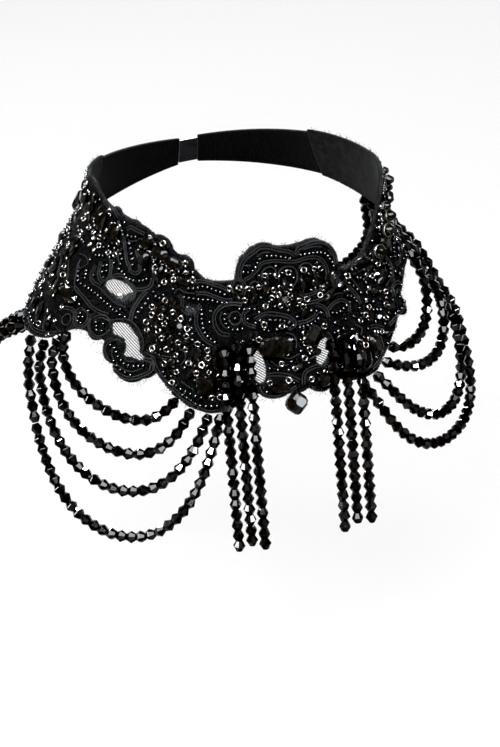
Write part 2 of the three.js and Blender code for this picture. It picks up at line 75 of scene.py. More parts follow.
BANDS = {  # from, by way of, to, half width
    "crest_edge_left": (-15, 17, -9, 28, 0, 21, 3), "crest_edge_right": (3, 21, 15, 30, 21, 15, 3),
    "rosette_arc": (-22, 6, -36, 0, -26, -8, 2.4), "upper_sweep": (-41, 12, -32, 12, -20, 6, 2.4),
    "side_sweep": (-85, 15, -84, -2, -64, 0, 3), "leaf_left": (-67, 36, -52, 28, -61, 15, 3.2),
    "leaf_right": (28, 8, 37, 12, 46, 10, 2.6), "throat_loop": (-13, -4, -3, 2, 2, -7, 2.2),
    "hook": (-66, -11, -60, -28, -51, -19, 2.6)}
STONES = {  # shape, angle, height, along, across, depth, turn
    "front_oblong_stone": ("oblong", -7.5, -13.2, 13.5, 7.5, 3.6, -4),
    "hem_drop_stone": ("round", -3.4, -36, 10, 10, 4.4, 0),
    "square_stone": ("oblong", -32.5, -25.5, 7.6, 7.4, 3.4, 0),
    "side_navette_stone": ("navette", -86, 2, 13, 6, 3.2, -12),
    "crest_stone_1": ("navette", -8.5, 12.5, 7.5, 3.4, 2.4, 82),
    "crest_stone_2": ("navette", -1.5, 11, 7.5, 3.4, 2.4, 88),
    "crest_stone_3": ("navette", 5, 10.5, 7.5, 3.6, 2.4, 94),
    "crest_stone_4": ("navette", 11.5, 10.5, 7.5, 3.4, 2.4, 98),
    "crest_stone_5": ("navette", 16.8, 9, 7, 3.2, 2.4, 106),
    "slanted_stone": ("oblong", 6.5, -11.5, 8.5, 5.4, 3, 45),
    "shoulder_stone_1": ("round", 50, 12, 6, 6, 3.2, 0),
    "shoulder_stone_2": ("round", 67, 25, 6, 6, 3.2, 0)}
BEAD_DIAMETER, BEAD_PITCH = 4.9, 4.6

# Radii in mm that turn degrees round the neck into lengths: in outlines, in the unrolled cloth,
# in what is sewn on it, and at the nape.
OUTLINE_RADIUS, CLOTH_RADIUS, SEWN_RADIUS, NAPE_RADIUS = 60, 61, 62, 57
FLAT = np.array([math.radians(1) * SEWN_RADIUS, 1.0])  # (angle, height) to mm on a flat sheet


def unit(vectors):
    """The vectors made 1 long, along the last axis."""
    return vectors / np.maximum(np.linalg.norm(vectors, axis=-1, keepdims=True), 1e-9)


def smooth(rows, column, angle):
    """A column's value at angles between the rows of a table, by the same curve as in the CAD."""
    angle = np.asarray(angle, float)
    x, y = rows[:, 0], rows[:, column]
    i = np.clip(np.searchsorted(x, angle, side="right") - 1, 0, len(x) - 2)
    span = x[i + 1] - x[i]
    t = np.clip((angle - x[i]) / span, 0, 1)
    before, after = np.maximum(i - 1, 0), np.minimum(i + 2, len(x) - 1)
    slope_in = (y[i + 1] - y[before]) / (x[i + 1] - x[before])
    slope_out = (y[after] - y[i]) / (x[after] - x[i])
    t2, t3 = t * t, t * t * t
    return (y[i] * (2 * t3 - 3 * t2 + 1) + y[i + 1] * (3 * t2 - 2 * t3)
            + span * (slope_in * (t3 - 2 * t2 + t) + slope_out * (t3 - t2)))


def wall_radius(angle, height):
    below = smooth(SECTIONS, 2, angle) - height
    flared = FLARE_SOFTNESS * np.logaddexp(0, below / FLARE_SOFTNESS)
    return smooth(SECTIONS, 1, angle) + smooth(SECTIONS, 3, angle) * flared


def on_wall(angle, height, off):
    """Points on the wall's inner face, or off it outwards."""
    a = np.radians(np.asarray(angle, float))
    r = wall_radius(np.asarray(angle, float), height) + off
    return np.stack([r * np.sin(a), -r * np.cos(a), np.broadcast_to(height, r.shape)], -1)


def inside_ellipse(motif, angle, height):
    """About the distance in mm inside an ellipse; negative outside."""
    a0, h0, half_long, half_high, turn = motif
    per_degree = math.radians(1) * wall_radius(a0, h0)
    x, y = (angle - a0) * per_degree, height - h0
    c, s = math.cos(math.radians(turn)), math.sin(math.radians(turn))
    reach = np.hypot((x * c + y * s) / half_long, (y * c - x * s) / half_high)
    return (1 - reach) * min(half_long, half_high)


def inside_band(band, angle, height):
    """About the distance in mm inside a curved band; negative outside."""
    a0, h0, a1, h1, a2, h2, half_width = band
    per_degree = math.radians(1) * wall_radius(a1, h1)
    nearest = np.full(np.shape(angle), np.inf)
    for t in np.linspace(0, 1, 25):
        p, q, r = (1 - t) ** 2, 2 * t * (1 - t), t * t
        a, h = p * a0 + q * a1 + r * a2, p * h0 + q * h1 + r * h2
        nearest = np.minimum(nearest, np.hypot((angle - a) * per_degree, height - h))
    return half_width - nearest


# Openings written as LOBES: two beside the throat, and small ones too fine for the solids.
EYELETS = {
    "throat_left": (-14.2, -20.2, 2.9, 6.6, 6), "throat_right": (10.2, -19, 2.9, 5.6, -26),
    "under_sweep": (-37.5, 3.7, 3.0, 1.4, -15), "beside_rosette": (-25.5, -8.2, 1.2, 0.7, 30),
    "throat_a": (-15, -6.8, 1.1, 0.7, 0), "throat_b": (12.6, -7.6, 1.2, 0.7, 0),
    "right_slit": (18.7, 6.6, 3.5, 0.85, 37), "crest_gap": (22.3, 8.5, 1.2, 0.6, 60),
    "above_petal": (49.5, -3.9, 2.8, 0.8, 8)}

# The crest's outline, as places (angle, height) from the wearer's right to the left.
CREST = np.array([
    (-20.5, 14), (-19.8, 17.4), (-18.6, 21.5), (-17.4, 24.6), (-15.8, 25.8), (-13.3, 28),
    (-10.9, 29), (-9, 29.6), (-5.7, 28.9), (-3.9, 27.6), (-1.5, 27), (2.4, 26.5), (7.6, 26.7),
    (10.3, 27.2), (13.5, 26.8), (16.7, 24.8), (19, 23.2), (20.6, 21.2), (21.8, 18.6), (22, 16),
    (22.5, 13)])

# The outlines of the two large openings, which keep to the solids' own within 2 mm.
UPPER_WINDOW = np.array([
    (-74, 9.5), (-72.3, 11.4), (-69.5, 12.8), (-66, 12.6), (-62.6, 11.6), (-60, 9.6), (-61.1, 7),
    (-63.6, 4.4), (-67, 5.4), (-71.4, 7.6)])
ELBOW_WINDOW = np.array([
    (-67.4, -4.4), (-65.6, -3.4), (-63.4, -2.8), (-60.8, -3.3), (-58.1, -5.7), (-55.9, -8.6),
    (-55, -12.2), (-55.8, -15), (-57.8, -14.8), (-59.4, -12.6), (-60.7, -10.2), (-63.3, -8.8),
    (-66, -8.2)])


def inside_outline(corners, angle, height):
    """Distance in mm inside an outline, which closes itself; negative outside."""
    x, y = angle * math.radians(1) * OUTLINE_RADIUS, height
    corners = corners * np.array([math.radians(1) * OUTLINE_RADIUS, 1.0])
    nearest, crossings = np.full(np.shape(x), np.inf), np.zeros(np.shape(x), int)
    for (x0, y0), (x1, y1) in zip(corners, np.roll(corners, -1, 0)):
        along = ((x - x0) * (x1 - x0) + (y - y0) * (y1 - y0)) / ((x1 - x0) ** 2 + (y1 - y0) ** 2)
        t = np.clip(along, 0, 1)
        nearest = np.minimum(nearest, np.hypot(x - x0 - t * (x1 - x0), y - y0 - t * (y1 - y0)))
        passes = (y0 > y) != (y1 > y)
        rise = y1 - y0 if y1 != y0 else 1.0
        crossings += passes & (x < x0 + (y - y0) * (x1 - x0) / rise)
    return np.where(crossings % 2 == 1, nearest, -nearest)


def lace_field(angle, height):
    """Positive on the lace, negative off it and in its openings, in about mm."""
    inside = np.minimum(smooth(RIM, 1, angle) - height, height - smooth(HEM, 1, angle))
    for name, lobe in LOBES.items():
        if not name.startswith("crest"):
            inside = np.maximum(inside, inside_ellipse(lobe, angle, height))
    inside = np.maximum(inside, inside_outline(CREST, angle, height))
    for outline in (UPPER_WINDOW, ELBOW_WINDOW):
        inside = np.minimum(inside, -inside_outline(outline, angle, height))
    for hole in EYELETS.values():
        inside = np.minimum(inside, -inside_ellipse(hole, angle, height))
    ends = (LACE_END - np.abs(angle)) * math.radians(1) * OUTLINE_RADIUS
    return np.minimum(inside, ends)


def relief_at(angle, height):
    """How far motifs and bands raise the wall, in mm."""
    rise = np.zeros(np.shape(angle))
    for lobe in LOBES.values():
        rise = np.maximum(rise, inside_ellipse(lobe, angle, height) / LOBE_SLOPE)
    for band in BANDS.values():
        rise = np.maximum(rise, inside_band(band, angle, height) / BAND_SLOPE)
    return RELIEF * np.clip(rise, 0, 1)


def front(angle, height, lift):
    """Points lifted off the lace's outer face."""
    angle, height = np.asarray(angle, float), np.asarray(height, float)
    return on_wall(angle, height, WALL + relief_at(angle, height) + lift)


def basis_at(angle, height):
    """East, up and outward directions on the wall, as rows."""
    east = unit(on_wall(angle + 1, height, 0) - on_wall(angle - 1, height, 0))
    up = on_wall(angle, height + 1.0, 0) - on_wall(angle, height - 1.0, 0)
    out = unit(np.cross(east, up))
    return east, np.cross(out, east), out


# ---- meshes ----
def mesh_object(name, points, faces, material, flat=True):
    """An object in the scene, from points in m and a list of faces."""
    mesh = bpy.data.meshes.new(name)
    mesh.from_pydata(points.tolist(), [], [list(map(int, f)) for f in faces])
    mesh.polygons.foreach_set("use_smooth", [not flat] * len(mesh.polygons))
    mesh.materials.append(material)
    made = bpy.data.objects.new(name, mesh)
    bpy.context.scene.collection.objects.link(made)
    return made


def piece(name, form, material, flat=True, replaces=()):
    """Makes one object of the choker from a form: points in mm, faces and maybe a UV per point."""
    points, faces, uv = (*form, None)[:3]
    made = mesh_object(name, np.asarray(points, float) * MM, faces, material, flat)
    mesh = made.data
    if uv is not None:
        layer = mesh.uv_layers.new(name="wall")
        corner = np.zeros(len(mesh.loops), np.int32)
        mesh.loops.foreach_get("vertex_index", corner)
        layer.data.foreach_set("uv", np.asarray(uv, np.float32)[corner].ravel())
    mesh.validate()
    mesh.update()
    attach(made, "root")
    if replaces:
        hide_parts(*replaces)
    return made


def repeated(template, centres, axes, scales=None):
    """Joins copies of a small form. Each one has a centre and three axes as rows."""
    points, faces = np.asarray(template[0], float), template[1]
    centres, axes = np.asarray(centres, float), np.asarray(axes, float)
    scales = np.ones((len(centres), 3)) if scales is None else np.asarray(scales, float)
    scaled = points[None] * scales[:, None]
    placed = np.einsum("npk,nkd->npd", scaled, axes) + centres[:, None]
    count = len(points)
    all_faces = [[i * count + v for v in f] for i in range(len(centres)) for f in faces]
    return placed.reshape(-1, 3), all_faces


def lathe(profile, sides):
    """A closed form turned about its x axis from (x, radius) rows; a radius of 0 is a point."""
    points, faces, rings = [], [], []
    for x, r in profile:
        if r == 0:
            rings.append([len(points)] * sides)
            points.append((x, 0, 0))
            continue
        rings.append(list(range(len(points), len(points) + sides)))
        for k in range(sides):
            a = 2 * math.pi * k / sides
            points.append((x, r * math.cos(a), r * math.sin(a)))
    for low, high in zip(rings, rings[1:]):
        for k in range(sides):
            j = (k + 1) % sides
            faces.append(list(dict.fromkeys([low[k], high[k], high[j], low[j]])))
    return points, faces


def tube(line, radius, sides, out=None, lobes=0.0, pitch=1.2, closed=False):
    """A tube along a line in mm, with a UV of length and turn. Lobes make it a two-ply cord."""
    line = np.asarray(line, float)
    along = np.roll(line, -1, 0) - np.roll(line, 1, 0) if closed else np.gradient(line, axis=0)
    along = unit(along)
    up = np.array([[0, 0, 1.0]]).repeat(len(line), 0) if out is None else np.asarray(out, float)
    side = unit(np.cross(along, up))
    up = np.cross(side, along)
    step = np.linalg.norm(np.diff(line, axis=0), axis=1)
    length = np.concatenate([[0], np.cumsum(step)])
    angle = 2 * np.pi * np.arange(sides) / sides
    phase = 2 * np.pi * length[:, None] / pitch
    r = radius * (1 + lobes * np.cos(2 * (angle[None] - phase)))
    points = (line[:, None] + up[:, None] * (r * np.cos(angle))[..., None]
              + side[:, None] * (r * np.sin(angle))[..., None]).reshape(-1, 3)
    faces, rings = [], len(line)
    for i in range(rings if closed else rings - 1):
        n = (i + 1) % rings
        for k in range(sides):
            j = (k + 1) % sides
            faces.append([i * sides + k, i * sides + j, n * sides + j, n * sides + k])
    if not closed:
        faces.append(list(range(sides))[::-1])
        faces.append([(rings - 1) * sides + k for k in range(sides)])
    uv = np.stack([np.repeat(length, sides), np.tile(angle, rings)], -1)
    return points, faces, uv


def join(parts):
    """Joins forms, each of them (points, faces) or (points, faces, uv), into one."""
    points, faces, uvs, base = [], [], [], 0
    for part in parts:
        points.append(part[0])
        faces += [[v + base for v in f] for f in part[1]]
        if len(part) > 2:
            uvs.append(part[2])
        base += len(part[0])
    return np.concatenate(points), faces, np.concatenate(uvs) if uvs else None


# ---- small forms ----
def bicone():
    """A faceted bicone bead along x: hole rims, eight facets a side, a crisp belly."""
    half, belly = BEAD_PITCH / 2 - 0.04, BEAD_DIAMETER / 2 + 0.05
    profile = [(-half + 0.1, 0.4), (-half, 0.75), (-half, 1.4), (-0.14, belly), (0.14, belly),
               (half, 1.4), (half, 0.75), (half - 0.1, 0.4)]
    return lathe(profile, sides=8)


def seed_bead():
    """A small round bead, its hole along x."""
    profile = [(-0.5, 0.25), (-0.56, 0.5), (-0.34, 0.82), (0, 0.92), (0.34, 0.82), (0.56, 0.5),
               (0.5, 0.25)]
    return lathe([(x * 0.95, r * 0.95) for x, r in profile], sides=9)


def ring_bead():
    """A small cupped ring with its hole outwards (z): sloping cup, rounded rim, outer wall."""
    profile = [(-0.3, 0.92), (0.0, 0.8), (0.2, 0.8), (0.36, 0.88), (0.42, 1.0), (0.4, 1.12),
               (0.3, 1.24), (0.12, 1.34), (-0.1, 1.36), (-0.3, 1.22)]
    points, faces = lathe(profile, sides=18)
    return [(y, z, x) for x, y, z in points], faces


# Half outlines of cut stones. A drop is mirrored across its length, the others turned by half.
OUTLINES = {
    "navette": [(1, 0), (0.78, 0.48), (0.42, 0.83), (0, 1), (-0.42, 0.83), (-0.78, 0.48)],
    "oblong": [(1, 0.45), (0.88, 0.8), (0.62, 1), (0, 1), (-0.62, 1), (-0.88, 0.8), (-1, 0.45)],
    "round": [(math.cos(math.pi * k / 6), math.sin(math.pi * k / 6)) for k in range(6)],
    "cushion": [(1, 0), (0.86, 0.36), (0.5, 0.68), (0.2, 0.93), (0, 1), (-0.2, 0.93), (-0.5, 0.68),
                (-0.86, 0.36)],
    "drop": [(1, 0), (0.45, 0.5), (-0.1, 0.86), (-0.55, 0.95), (-0.88, 0.62), (-1, 0)]}


def cut_stone(shape, table=0.52, shift=0.0):
    """A faceted stone of half sizes 1 and depth 1: girdle, crown facets and a table."""
    half = OUTLINES[shape]
    drop = shape == "drop"
    rest = [(x, -y) for x, y in half[-2:0:-1]] if drop else [(-x, -y) for x, y in half]
    xy = np.array(half + rest)
    n = len(xy)
    between = (xy + np.roll(xy, -1, 0)) / 2
    aside = np.array([shift, 0.0])
    table = np.array(table) * np.ones(2)
    crown = between * (0.4 + 0.77 * table) + aside / 2
    rings = [(xy * 0.82, 0.0), (xy, 0.34), (xy, 0.44), (crown, 0.74), (xy * table + aside, 1.0)]
    points = [(x, y, z) for ring, z in rings for x, y in ring]
    faces = [list(range(n))[::-1], [4 * n + k for k in range(n)]]
    for k in range(n):
        j = (k + 1) % n
        for low in (0, n):
            faces.append([low + k, low + j, low + n + j, low + n + k])
        b, c, d = 2 * n, 3 * n, 4 * n  # girdle top, middle of the crown, table
        faces += [[b + k, b + j, c + k], [b + j, c + j, c + k],
                  [c + k, c + j, d + j], [d + j, d + k, c + k]]
    return points, faces


# ---- materials ----
def nodes_of(name):
    material = bpy.data.materials.new(name)
    material.use_nodes = True
    tree = material.node_tree
    shader = next(n for n in tree.nodes if n.type == "BSDF_PRINCIPLED")
    return material, tree, shader


def fill(tree, node, inputs):
    """Gives a node's inputs values, or links them to other nodes."""
    for key, value in inputs.items():
        if isinstance(value, bpy.types.NodeSocket):
            tree.links.new(value, node.inputs[key])
        else:
            node.inputs[key].default_value = value


def add(tree, kind, inputs, **settings):
    node = tree.nodes.new("ShaderNode" + kind)
    for key, value in settings.items():
        setattr(node, key, value)
    fill(tree, node, inputs)
    return node


def object_place(tree):
    return add(tree, "TexCoord", {}).outputs["Object"]


def wall_uv(tree):
    return add(tree, "UVMap", {}, uv_map="wall").outputs["UV"]


def noise(tree, place, scale, detail, **others):
    inputs = {"Vector": place, "Scale": scale, "Detail": detail, **others}
    return add(tree, "TexNoise", inputs).outputs["Fac"]


def maths(tree, operation, *values):
    return add(tree, "Math", dict(enumerate(values)), operation=operation).outputs[0]


def bump(tree, height, strength, distance):
    inputs = {"Height": height, "Strength": strength, "Distance": distance}
    return add(tree, "Bump", inputs).outputs["Normal"]


def ramp(tree, value, low, high, start, end):
    """A value mapped to a colour or a grey between two ends."""
    node = add(tree, "ValToRGB", {"Fac": value})
    for element, at, colour in zip(node.color_ramp.elements, (start, end), (low, high)):
        element.position = at
        element.color = (*colour, 1) if hasattr(colour, "__len__") else (colour,) * 3 + (1,)
    return node.outputs["Color"]


def glass_material(name, colour, rough_low, rough_high, ior=1.6, grain=900.0):
    """Opaque black glass: polished, with faint smears, scuffs and a slightly uneven surface."""
    material, tree, shader = nodes_of(name)
    place = object_place(tree)
    smear = noise(tree, place, grain, 4.0)
    dark, pale = [c * 0.6 for c in colour], [c * 1.7 for c in colour]
    fill(tree, shader, {
        "Base Color": ramp(tree, smear, dark, pale, 0.35, 0.7),
        "Roughness": ramp(tree, smear, rough_low, rough_high, 0.4, 0.75),
        "Normal": bump(tree, noise(tree, place, grain * 6, 2.0), 0.06, 0.0001), "IOR": ior})
    return material


def metal_material(name, colour, rough_low, rough_high, grain=1200.0):
    """Metal with darker, rougher patches."""
    material, tree, shader = nodes_of(name)
    patch = noise(tree, object_place(tree), grain, 5.0)
    fill(tree, shader, {
        "Base Color": ramp(tree, patch, [c * 0.45 for c in colour], colour, 0.3, 0.62),
        "Roughness": ramp(tree, patch, rough_high, rough_low, 0.3, 0.7), "Metallic": 1.0})
    return material


def thread_material(name, dark, light, pitch=0.8):
    """Matt thread whose plies wind round a tube; its UV is length and turn in mm and radians."""
    material, tree, shader = nodes_of(name)
    parts = add(tree, "SeparateXYZ", {"Vector": wall_uv(tree)}).outputs
    turn = maths(tree, "MULTIPLY", parts["X"], 2 * math.pi / pitch)
    wave = maths(tree, "SINE", maths(tree, "SUBTRACT", turn, parts["Y"]))
    ply = add(tree, "MapRange", {"Value": wave, "From Min": -1.0, "From Max": 1.0}).outputs[0]
    high = maths(tree, "ADD", ply, noise(tree, object_place(tree), 5000.0, 3.0))
    # the colour follows the ply relief: painted shade in the grooves between plies and painted
    # highlight on their ridges, with random tone from the noise
    fill(tree, shader, {
        "Base Color": ramp(tree, high, dark, light, 0.35, 1.0),
        "Normal": bump(tree, high, 0.8, 0.0002), "Roughness": 0.4, "Specular IOR Level": 0.24})
    return material


def lace_material():
    """Dense black embroidery: satin stitches over a fine mesh, with a painted highlight on its
    ridges.
    """
    material, tree, shader = nodes_of("lace_ground")
    uv = wall_uv(tree)
    swirl = add(tree, "TexNoise", {"Vector": uv, "Scale": 0.16, "Detail": 2.0, "Distortion": 1.6})
    bend = add(tree, "VectorMath", {0: swirl.outputs["Color"], "Scale": 9.0}, operation="SCALE")
    bent = add(tree, "VectorMath", {0: uv, 1: bend.outputs[0]}, operation="ADD")
    stitch = add(tree, "TexWave", {"Vector": bent.outputs[0], "Scale": 0.62, "Distortion": 2.2,
                                   "Detail": 3.0, "Detail Scale": 2.0})
    mesh = add(tree, "TexVoronoi", {"Vector": uv, "Scale": 1.5, "Randomness": 0.55},
               feature="DISTANCE_TO_EDGE")
    high = maths(tree, "SUBTRACT", stitch.outputs["Fac"], mesh.outputs["Distance"])
    high = maths(tree, "ADD", high, noise(tree, uv, 2.0, 5.0, Roughness=0.75))
    part = maths(tree, "MULTIPLY", high, 0.62)
    # the colour follows the relief: painted highlights on the stitch ridges and painted shade in
    # the mesh gaps, with random tone from the noise
    fill(tree, shader, {
        "Base Color": ramp(tree, part, 0.0001, (0.034, 0.034, 0.0345), 0.6, 0.9),
        "Normal": bump(tree, high, 0.9, 0.0004), "Roughness": 0.6, "Specular IOR Level": 0.03})
    return material


def backing_material():
    """Soft black felt that lines the lace against the neck."""
    material, tree, shader = nodes_of("felt_backing")
    place = object_place(tree)
    fibre = noise(tree, place, 2600.0, 4.0, Distortion=1.2)
    high = maths(tree, "MULTIPLY", fibre, noise(tree, place, 260.0, 3.0))
    fill(tree, shader, {
        "Base Color": ramp(tree, high, (0.0012, 0.0012, 0.0014), (0.016, 0.016, 0.017), 0.12, 0.45),
        "Normal": bump(tree, high, 0.8, 0.0003), "Roughness": 0.9, "Specular IOR Level": 0.05,
        "Sheen Weight": 0.04})
    return material


def ribbon_material():
    """Black grosgrain: fine ribs across the band, 0.62 mm apart."""
    material, tree, shader = nodes_of("grosgrain")
    uv = wall_uv(tree)
    parts = add(tree, "SeparateXYZ", {"Vector": uv}).outputs
    rib = maths(tree, "SINE", maths(tree, "MULTIPLY", parts["X"], 2 * math.pi / 0.62))
    high = maths(tree, "ADD", rib, noise(tree, uv, 3.0, 5.0))
    # the colour follows the rib relief: painted shade between the ribs and painted highlight on
    # them, with random tone from the noise
    fill(tree, shader, {
        "Base Color": ramp(tree, high, 0.0008, 0.008, 0.0, 1.6),
        "Normal": bump(tree, high, 0.7, 0.0002), "Roughness": 0.6, "Specular IOR Level": 0.06,
        "Sheen Weight": 0.02})
    return material


def net_material():
    """Thin matt thread."""
    material, tree, shader = nodes_of("net_thread")
    fibre = noise(tree, object_place(tree), 3000.0, 3.0)
    fill(tree, shader, {"Base Color": ramp(tree, fibre, 0.01, 0.05, 0.3, 0.7), "Roughness": 0.6})
    return material


JET = glass_material("jet_bead", (0.0034, 0.0026, 0.0021), 0.04, 0.12)
JET_STONE = glass_material("jet_stone", (0.0066, 0.0058, 0.0046), 0.03, 0.10, grain=500.0)
JET_SEED = glass_material("jet_seed", (0.001, 0.001, 0.001), 0.08, 0.16, ior=1.95)
GUNMETAL = metal_material("gunmetal_bead", (0.56, 0.5, 0.45), 0.09, 0.2)
SETTING = metal_material("stone_setting", (0.95, 0.86, 0.72), 0.2, 0.4)
SMOKE = glass_material("smoke_glass", (0.30, 0.30, 0.31), 0.05, 0.15, ior=1.5)
SMOKE.node_tree.nodes["Principled BSDF"].inputs["Transmission Weight"].default_value = 0.9
CLASP_METAL = metal_material("gunmetal_clasp", (0.12, 0.12, 0.125), 0.28, 0.5, grain=300.0)
CORD = thread_material("cord_thread", (0.0004, 0.0004, 0.0005), (0.038, 0.038, 0.0395))
STITCH = thread_material("stitch_thread", (0.0003, 0.0003, 0.0004), (0.007, 0.007, 0.0075), 0.5)
STRING = thread_material("bead_thread", (0.004, 0.004, 0.004), (0.02, 0.02, 0.02))
LACE = lace_material()
BACKING = backing_material()
RIBBON = ribbon_material()
NET = net_material()


# ---- strings of bicone beads, along the CAD's strings ----
def corners_of(node):
    return np.array([tuple(v.co) for v in NODES[node].data.vertices]) / MM


def waists(node):
    """The thread's places between the beads of a CAD string, in order, in mm."""
    corners = corners_of(node)
    corners = np.unique(np.round(corners, 3), axis=0)
    waist, next_waist = 1.25, BEAD_PITCH * 1.35  # as far as a waist's own corners and its neighbour
    near = np.linalg.norm(corners[:, None] - corners[None], axis=-1) < waist
    groups = {tuple(np.flatnonzero(row)) for row in near}
    centres = np.array([corners[list(g)].mean(0) for g in groups if len(g) >= 4])
    apart = np.linalg.norm(centres[:, None] - centres[None], axis=-1)
    neighbours = (apart < next_waist).sum(1)
    ends = np.flatnonzero(neighbours == neighbours.min())
    order = [int(ends[np.argmax(centres[ends][:, 2])])]
    left = set(range(len(centres))) - set(order)
    while left:
        nearest = min(left, key=lambda k: apart[order[-1], k])
        order.append(nearest)
        left.remove(nearest)
    return centres[order]


def add_strings():
    """One piece of beads and one of thread for each string, whose solids come in stretches."""
    stretches = {}
    for node in sorted(NODES):
        if node.startswith(("right_", "left_", "back_swag")):
            name = node.rsplit("_", 1)[0] if "swag" in node else node
            stretches.setdefault(name, []).append(node)
    bead = bicone()
    for name, nodes in stretches.items():
        centres, axes, threads = [], [], []
        for node in nodes:
            ends = waists(node)
            middle, along = (ends[:-1] + ends[1:]) / 2, np.diff(ends, axis=0)
            x = unit(unit(along) + rng.normal(0, 0.07, along.shape))
            y = unit(np.cross(x, rng.normal(0, 1, x.shape)))
            centres.append(middle)
            axes.append(np.stack([x, y, np.cross(x, y)], 1))
            threads.append(tube(ends, radius=0.33, sides=5))
        centres, axes = np.concatenate(centres), np.concatenate(axes)
        size = rng.normal(1, 0.012, (len(centres), 1)).clip(0.97, 1.0) * np.ones(3)
        beads = repeated(bead, centres, axes, size)
        piece(name + "_beads", beads, JET, replaces=nodes)
        piece(name + "_thread", join(threads), STRING, flat=False)


# ---- large stones ----
FACING = {}  # a facet of some stones that mirrors a lamp: its place and where it faces


def add_stones():
    """The large stones, each cut to its own shape where its solid is."""
    for name, (shape, angle, height, long, wide, deep, turn) in STONES.items():
        corners = corners_of(name)
        east, up, out = basis_at(np.float64(angle), np.float64(height))
        c, s = math.cos(math.radians(turn)), math.sin(math.radians(turn))
        x, y = east * c + up * s, up * c - east * s
        flat = [corners @ d for d in (x, y, out)]
        centre = x * (flat[0].max() + flat[0].min()) / 2 + y * (flat[1].max() + flat[1].min()) / 2
        centre = centre + out * flat[2].min()
        cut = cut_stone(shape)
        if name == "hem_drop_stone":  # it has an edge of paler glass and leans
            cut, long, wide = cut_stone("cushion", table=0.44, shift=0.16), 9.4, 9.9
            sides, half_long, half_wide, girdle = 16, 4.9, 5.15, 1.6
            line = [(k[0] * half_long, k[1] * half_wide, girdle) for k in cut[0][:sides]]
            edge = tube(line, radius=0.6, sides=6, out=[(0, 0, 1.0)] * sides, closed=True)
            edge = repeated(edge[:2], [centre], [[x, y, out]])
            piece("hem_drop_edge", edge, SMOKE)
            out = out + x * 0.20 + y * 0.11
            out /= np.linalg.norm(out)
        if name == "front_oblong_stone":
            cut = cut_stone(shape, table=(0.6, 0.82), shift=-0.2)
        points, faces = repeated(cut, [centre], [[x, y, out]], [[long / 2, wide / 2, deep]])
        corners = np.array([points[f[:3]] for f in faces[1:]])
        normals = np.cross(corners[:, 1] - corners[:, 0], corners[:, 2] - corners[:, 0])
        normals *= np.sign(normals @ out)[:, None] / np.linalg.norm(normals, axis=1, keepdims=True)
        middles = np.array([points[f].mean(0) for f in faces[1:]])
        if name == "hem_drop_stone":
            FACING[name] = middles[0], normals[0]  # its table
        if name == "front_oblong_stone":
            end = np.argmax(np.where(normals @ out > 0.6, (middles - centre) @ (x + 0.4 * y), -99))
            FACING[name] = middles[end], normals[end]
        piece(name + "_cut", (points, faces), JET_STONE, replaces=[name])


# ---- lace ----
def add_lace():
    """The cloth itself: a fine wall whose edge follows the motifs. Gives its edge as pairs."""
    cell, per_degree = 0.8, math.radians(1) * CLOTH_RADIUS
    columns = int(2 * LACE_END * per_degree / cell)
    angles = np.linspace(-LACE_END, LACE_END, columns + 1)
    a, h = np.meshgrid(angles, np.arange(-41, 50, cell), indexing="ij")
    for _ in range(3):  # draw the corners beside the edge onto it
        f = lace_field(a, h)
        step = 0.05
        ga = (lace_field(a + step / per_degree, h) - f) / step
        gh = (lace_field(a, h + step) - f) / step
        slope = np.maximum(ga * ga + gh * gh, 0.2)
        near = (f < 0.15 * cell) & (f > -0.85 * cell)
        a = np.where(near, a - (f * ga / slope).clip(-cell, cell) / per_degree, a)
        h = np.where(near, h - (f * gh / slope).clip(-cell, cell), h)
    f = lace_field(a, h)
    a = a.clip(-LACE_END, LACE_END)
    kept = f > -0.08  # with the corners that were drawn onto the edge
    faces, index = [], np.full(a.shape, -1)
    whole = kept[:-1, :-1] & kept[1:, :-1] & kept[1:, 1:] & kept[:-1, 1:]
    quads = [[(i, j), (i + 1, j), (i + 1, j + 1), (i, j + 1)] for i, j in zip(*np.nonzero(whole))]
    used = sorted({corner for quad in quads for corner in quad})
    for n, corner in enumerate(used):
        index[corner] = n
    count = len(used)
    at = tuple(np.array(used).T)
    ua, uh = a[at], h[at]
    ripple = 0.12 * np.sin(ua * 2.1 + 3 * np.sin(uh * 0.7)) * np.sin(uh * 1.9)
    below_cords, off_neck = 0.25, 0.15
    outer = on_wall(ua, uh, WALL - below_cords + relief_at(ua, uh) + ripple)
    inner = on_wall(ua, uh, off_neck)
    uv = np.stack([ua * per_degree, uh], -1)
    edges = {}
    for quad in quads:
        ids = [int(index[c]) for c in quad]
        faces.append(ids)
        faces.append([count + v for v in ids[::-1]])
        for p, q in zip(ids, ids[1:] + ids[:1]):
            edges[(p, q)] = edges.get((p, q), 0) + 1
    rim = [(p, q) for p, q in edges if (q, p) not in edges]
    faces += [[q, p, p + count, q + count] for p, q in rim]
    form = np.concatenate([outer, inner]), faces, np.concatenate([uv, uv + 50])
    lace = piece("lace_cloth", form, LACE, flat=False, replaces=["lace_collar"])
    lace.data.materials.append(BACKING)
    for n in range(len(quads)):
        lace.data.polygons[2 * n + 1].material_index = 1
    return np.stack([ua, uh], 1)[np.array(rim)]


lace_edge = add_lace()
add_strings()
add_stones()

# ---- back ribbons and clasp ----
BAND_END, NAPE_LOW, NAPE_HIGH, BAND_INSET, SEAM_GAP = 176.0, 24.0, 37.0, 1.0, 0.3


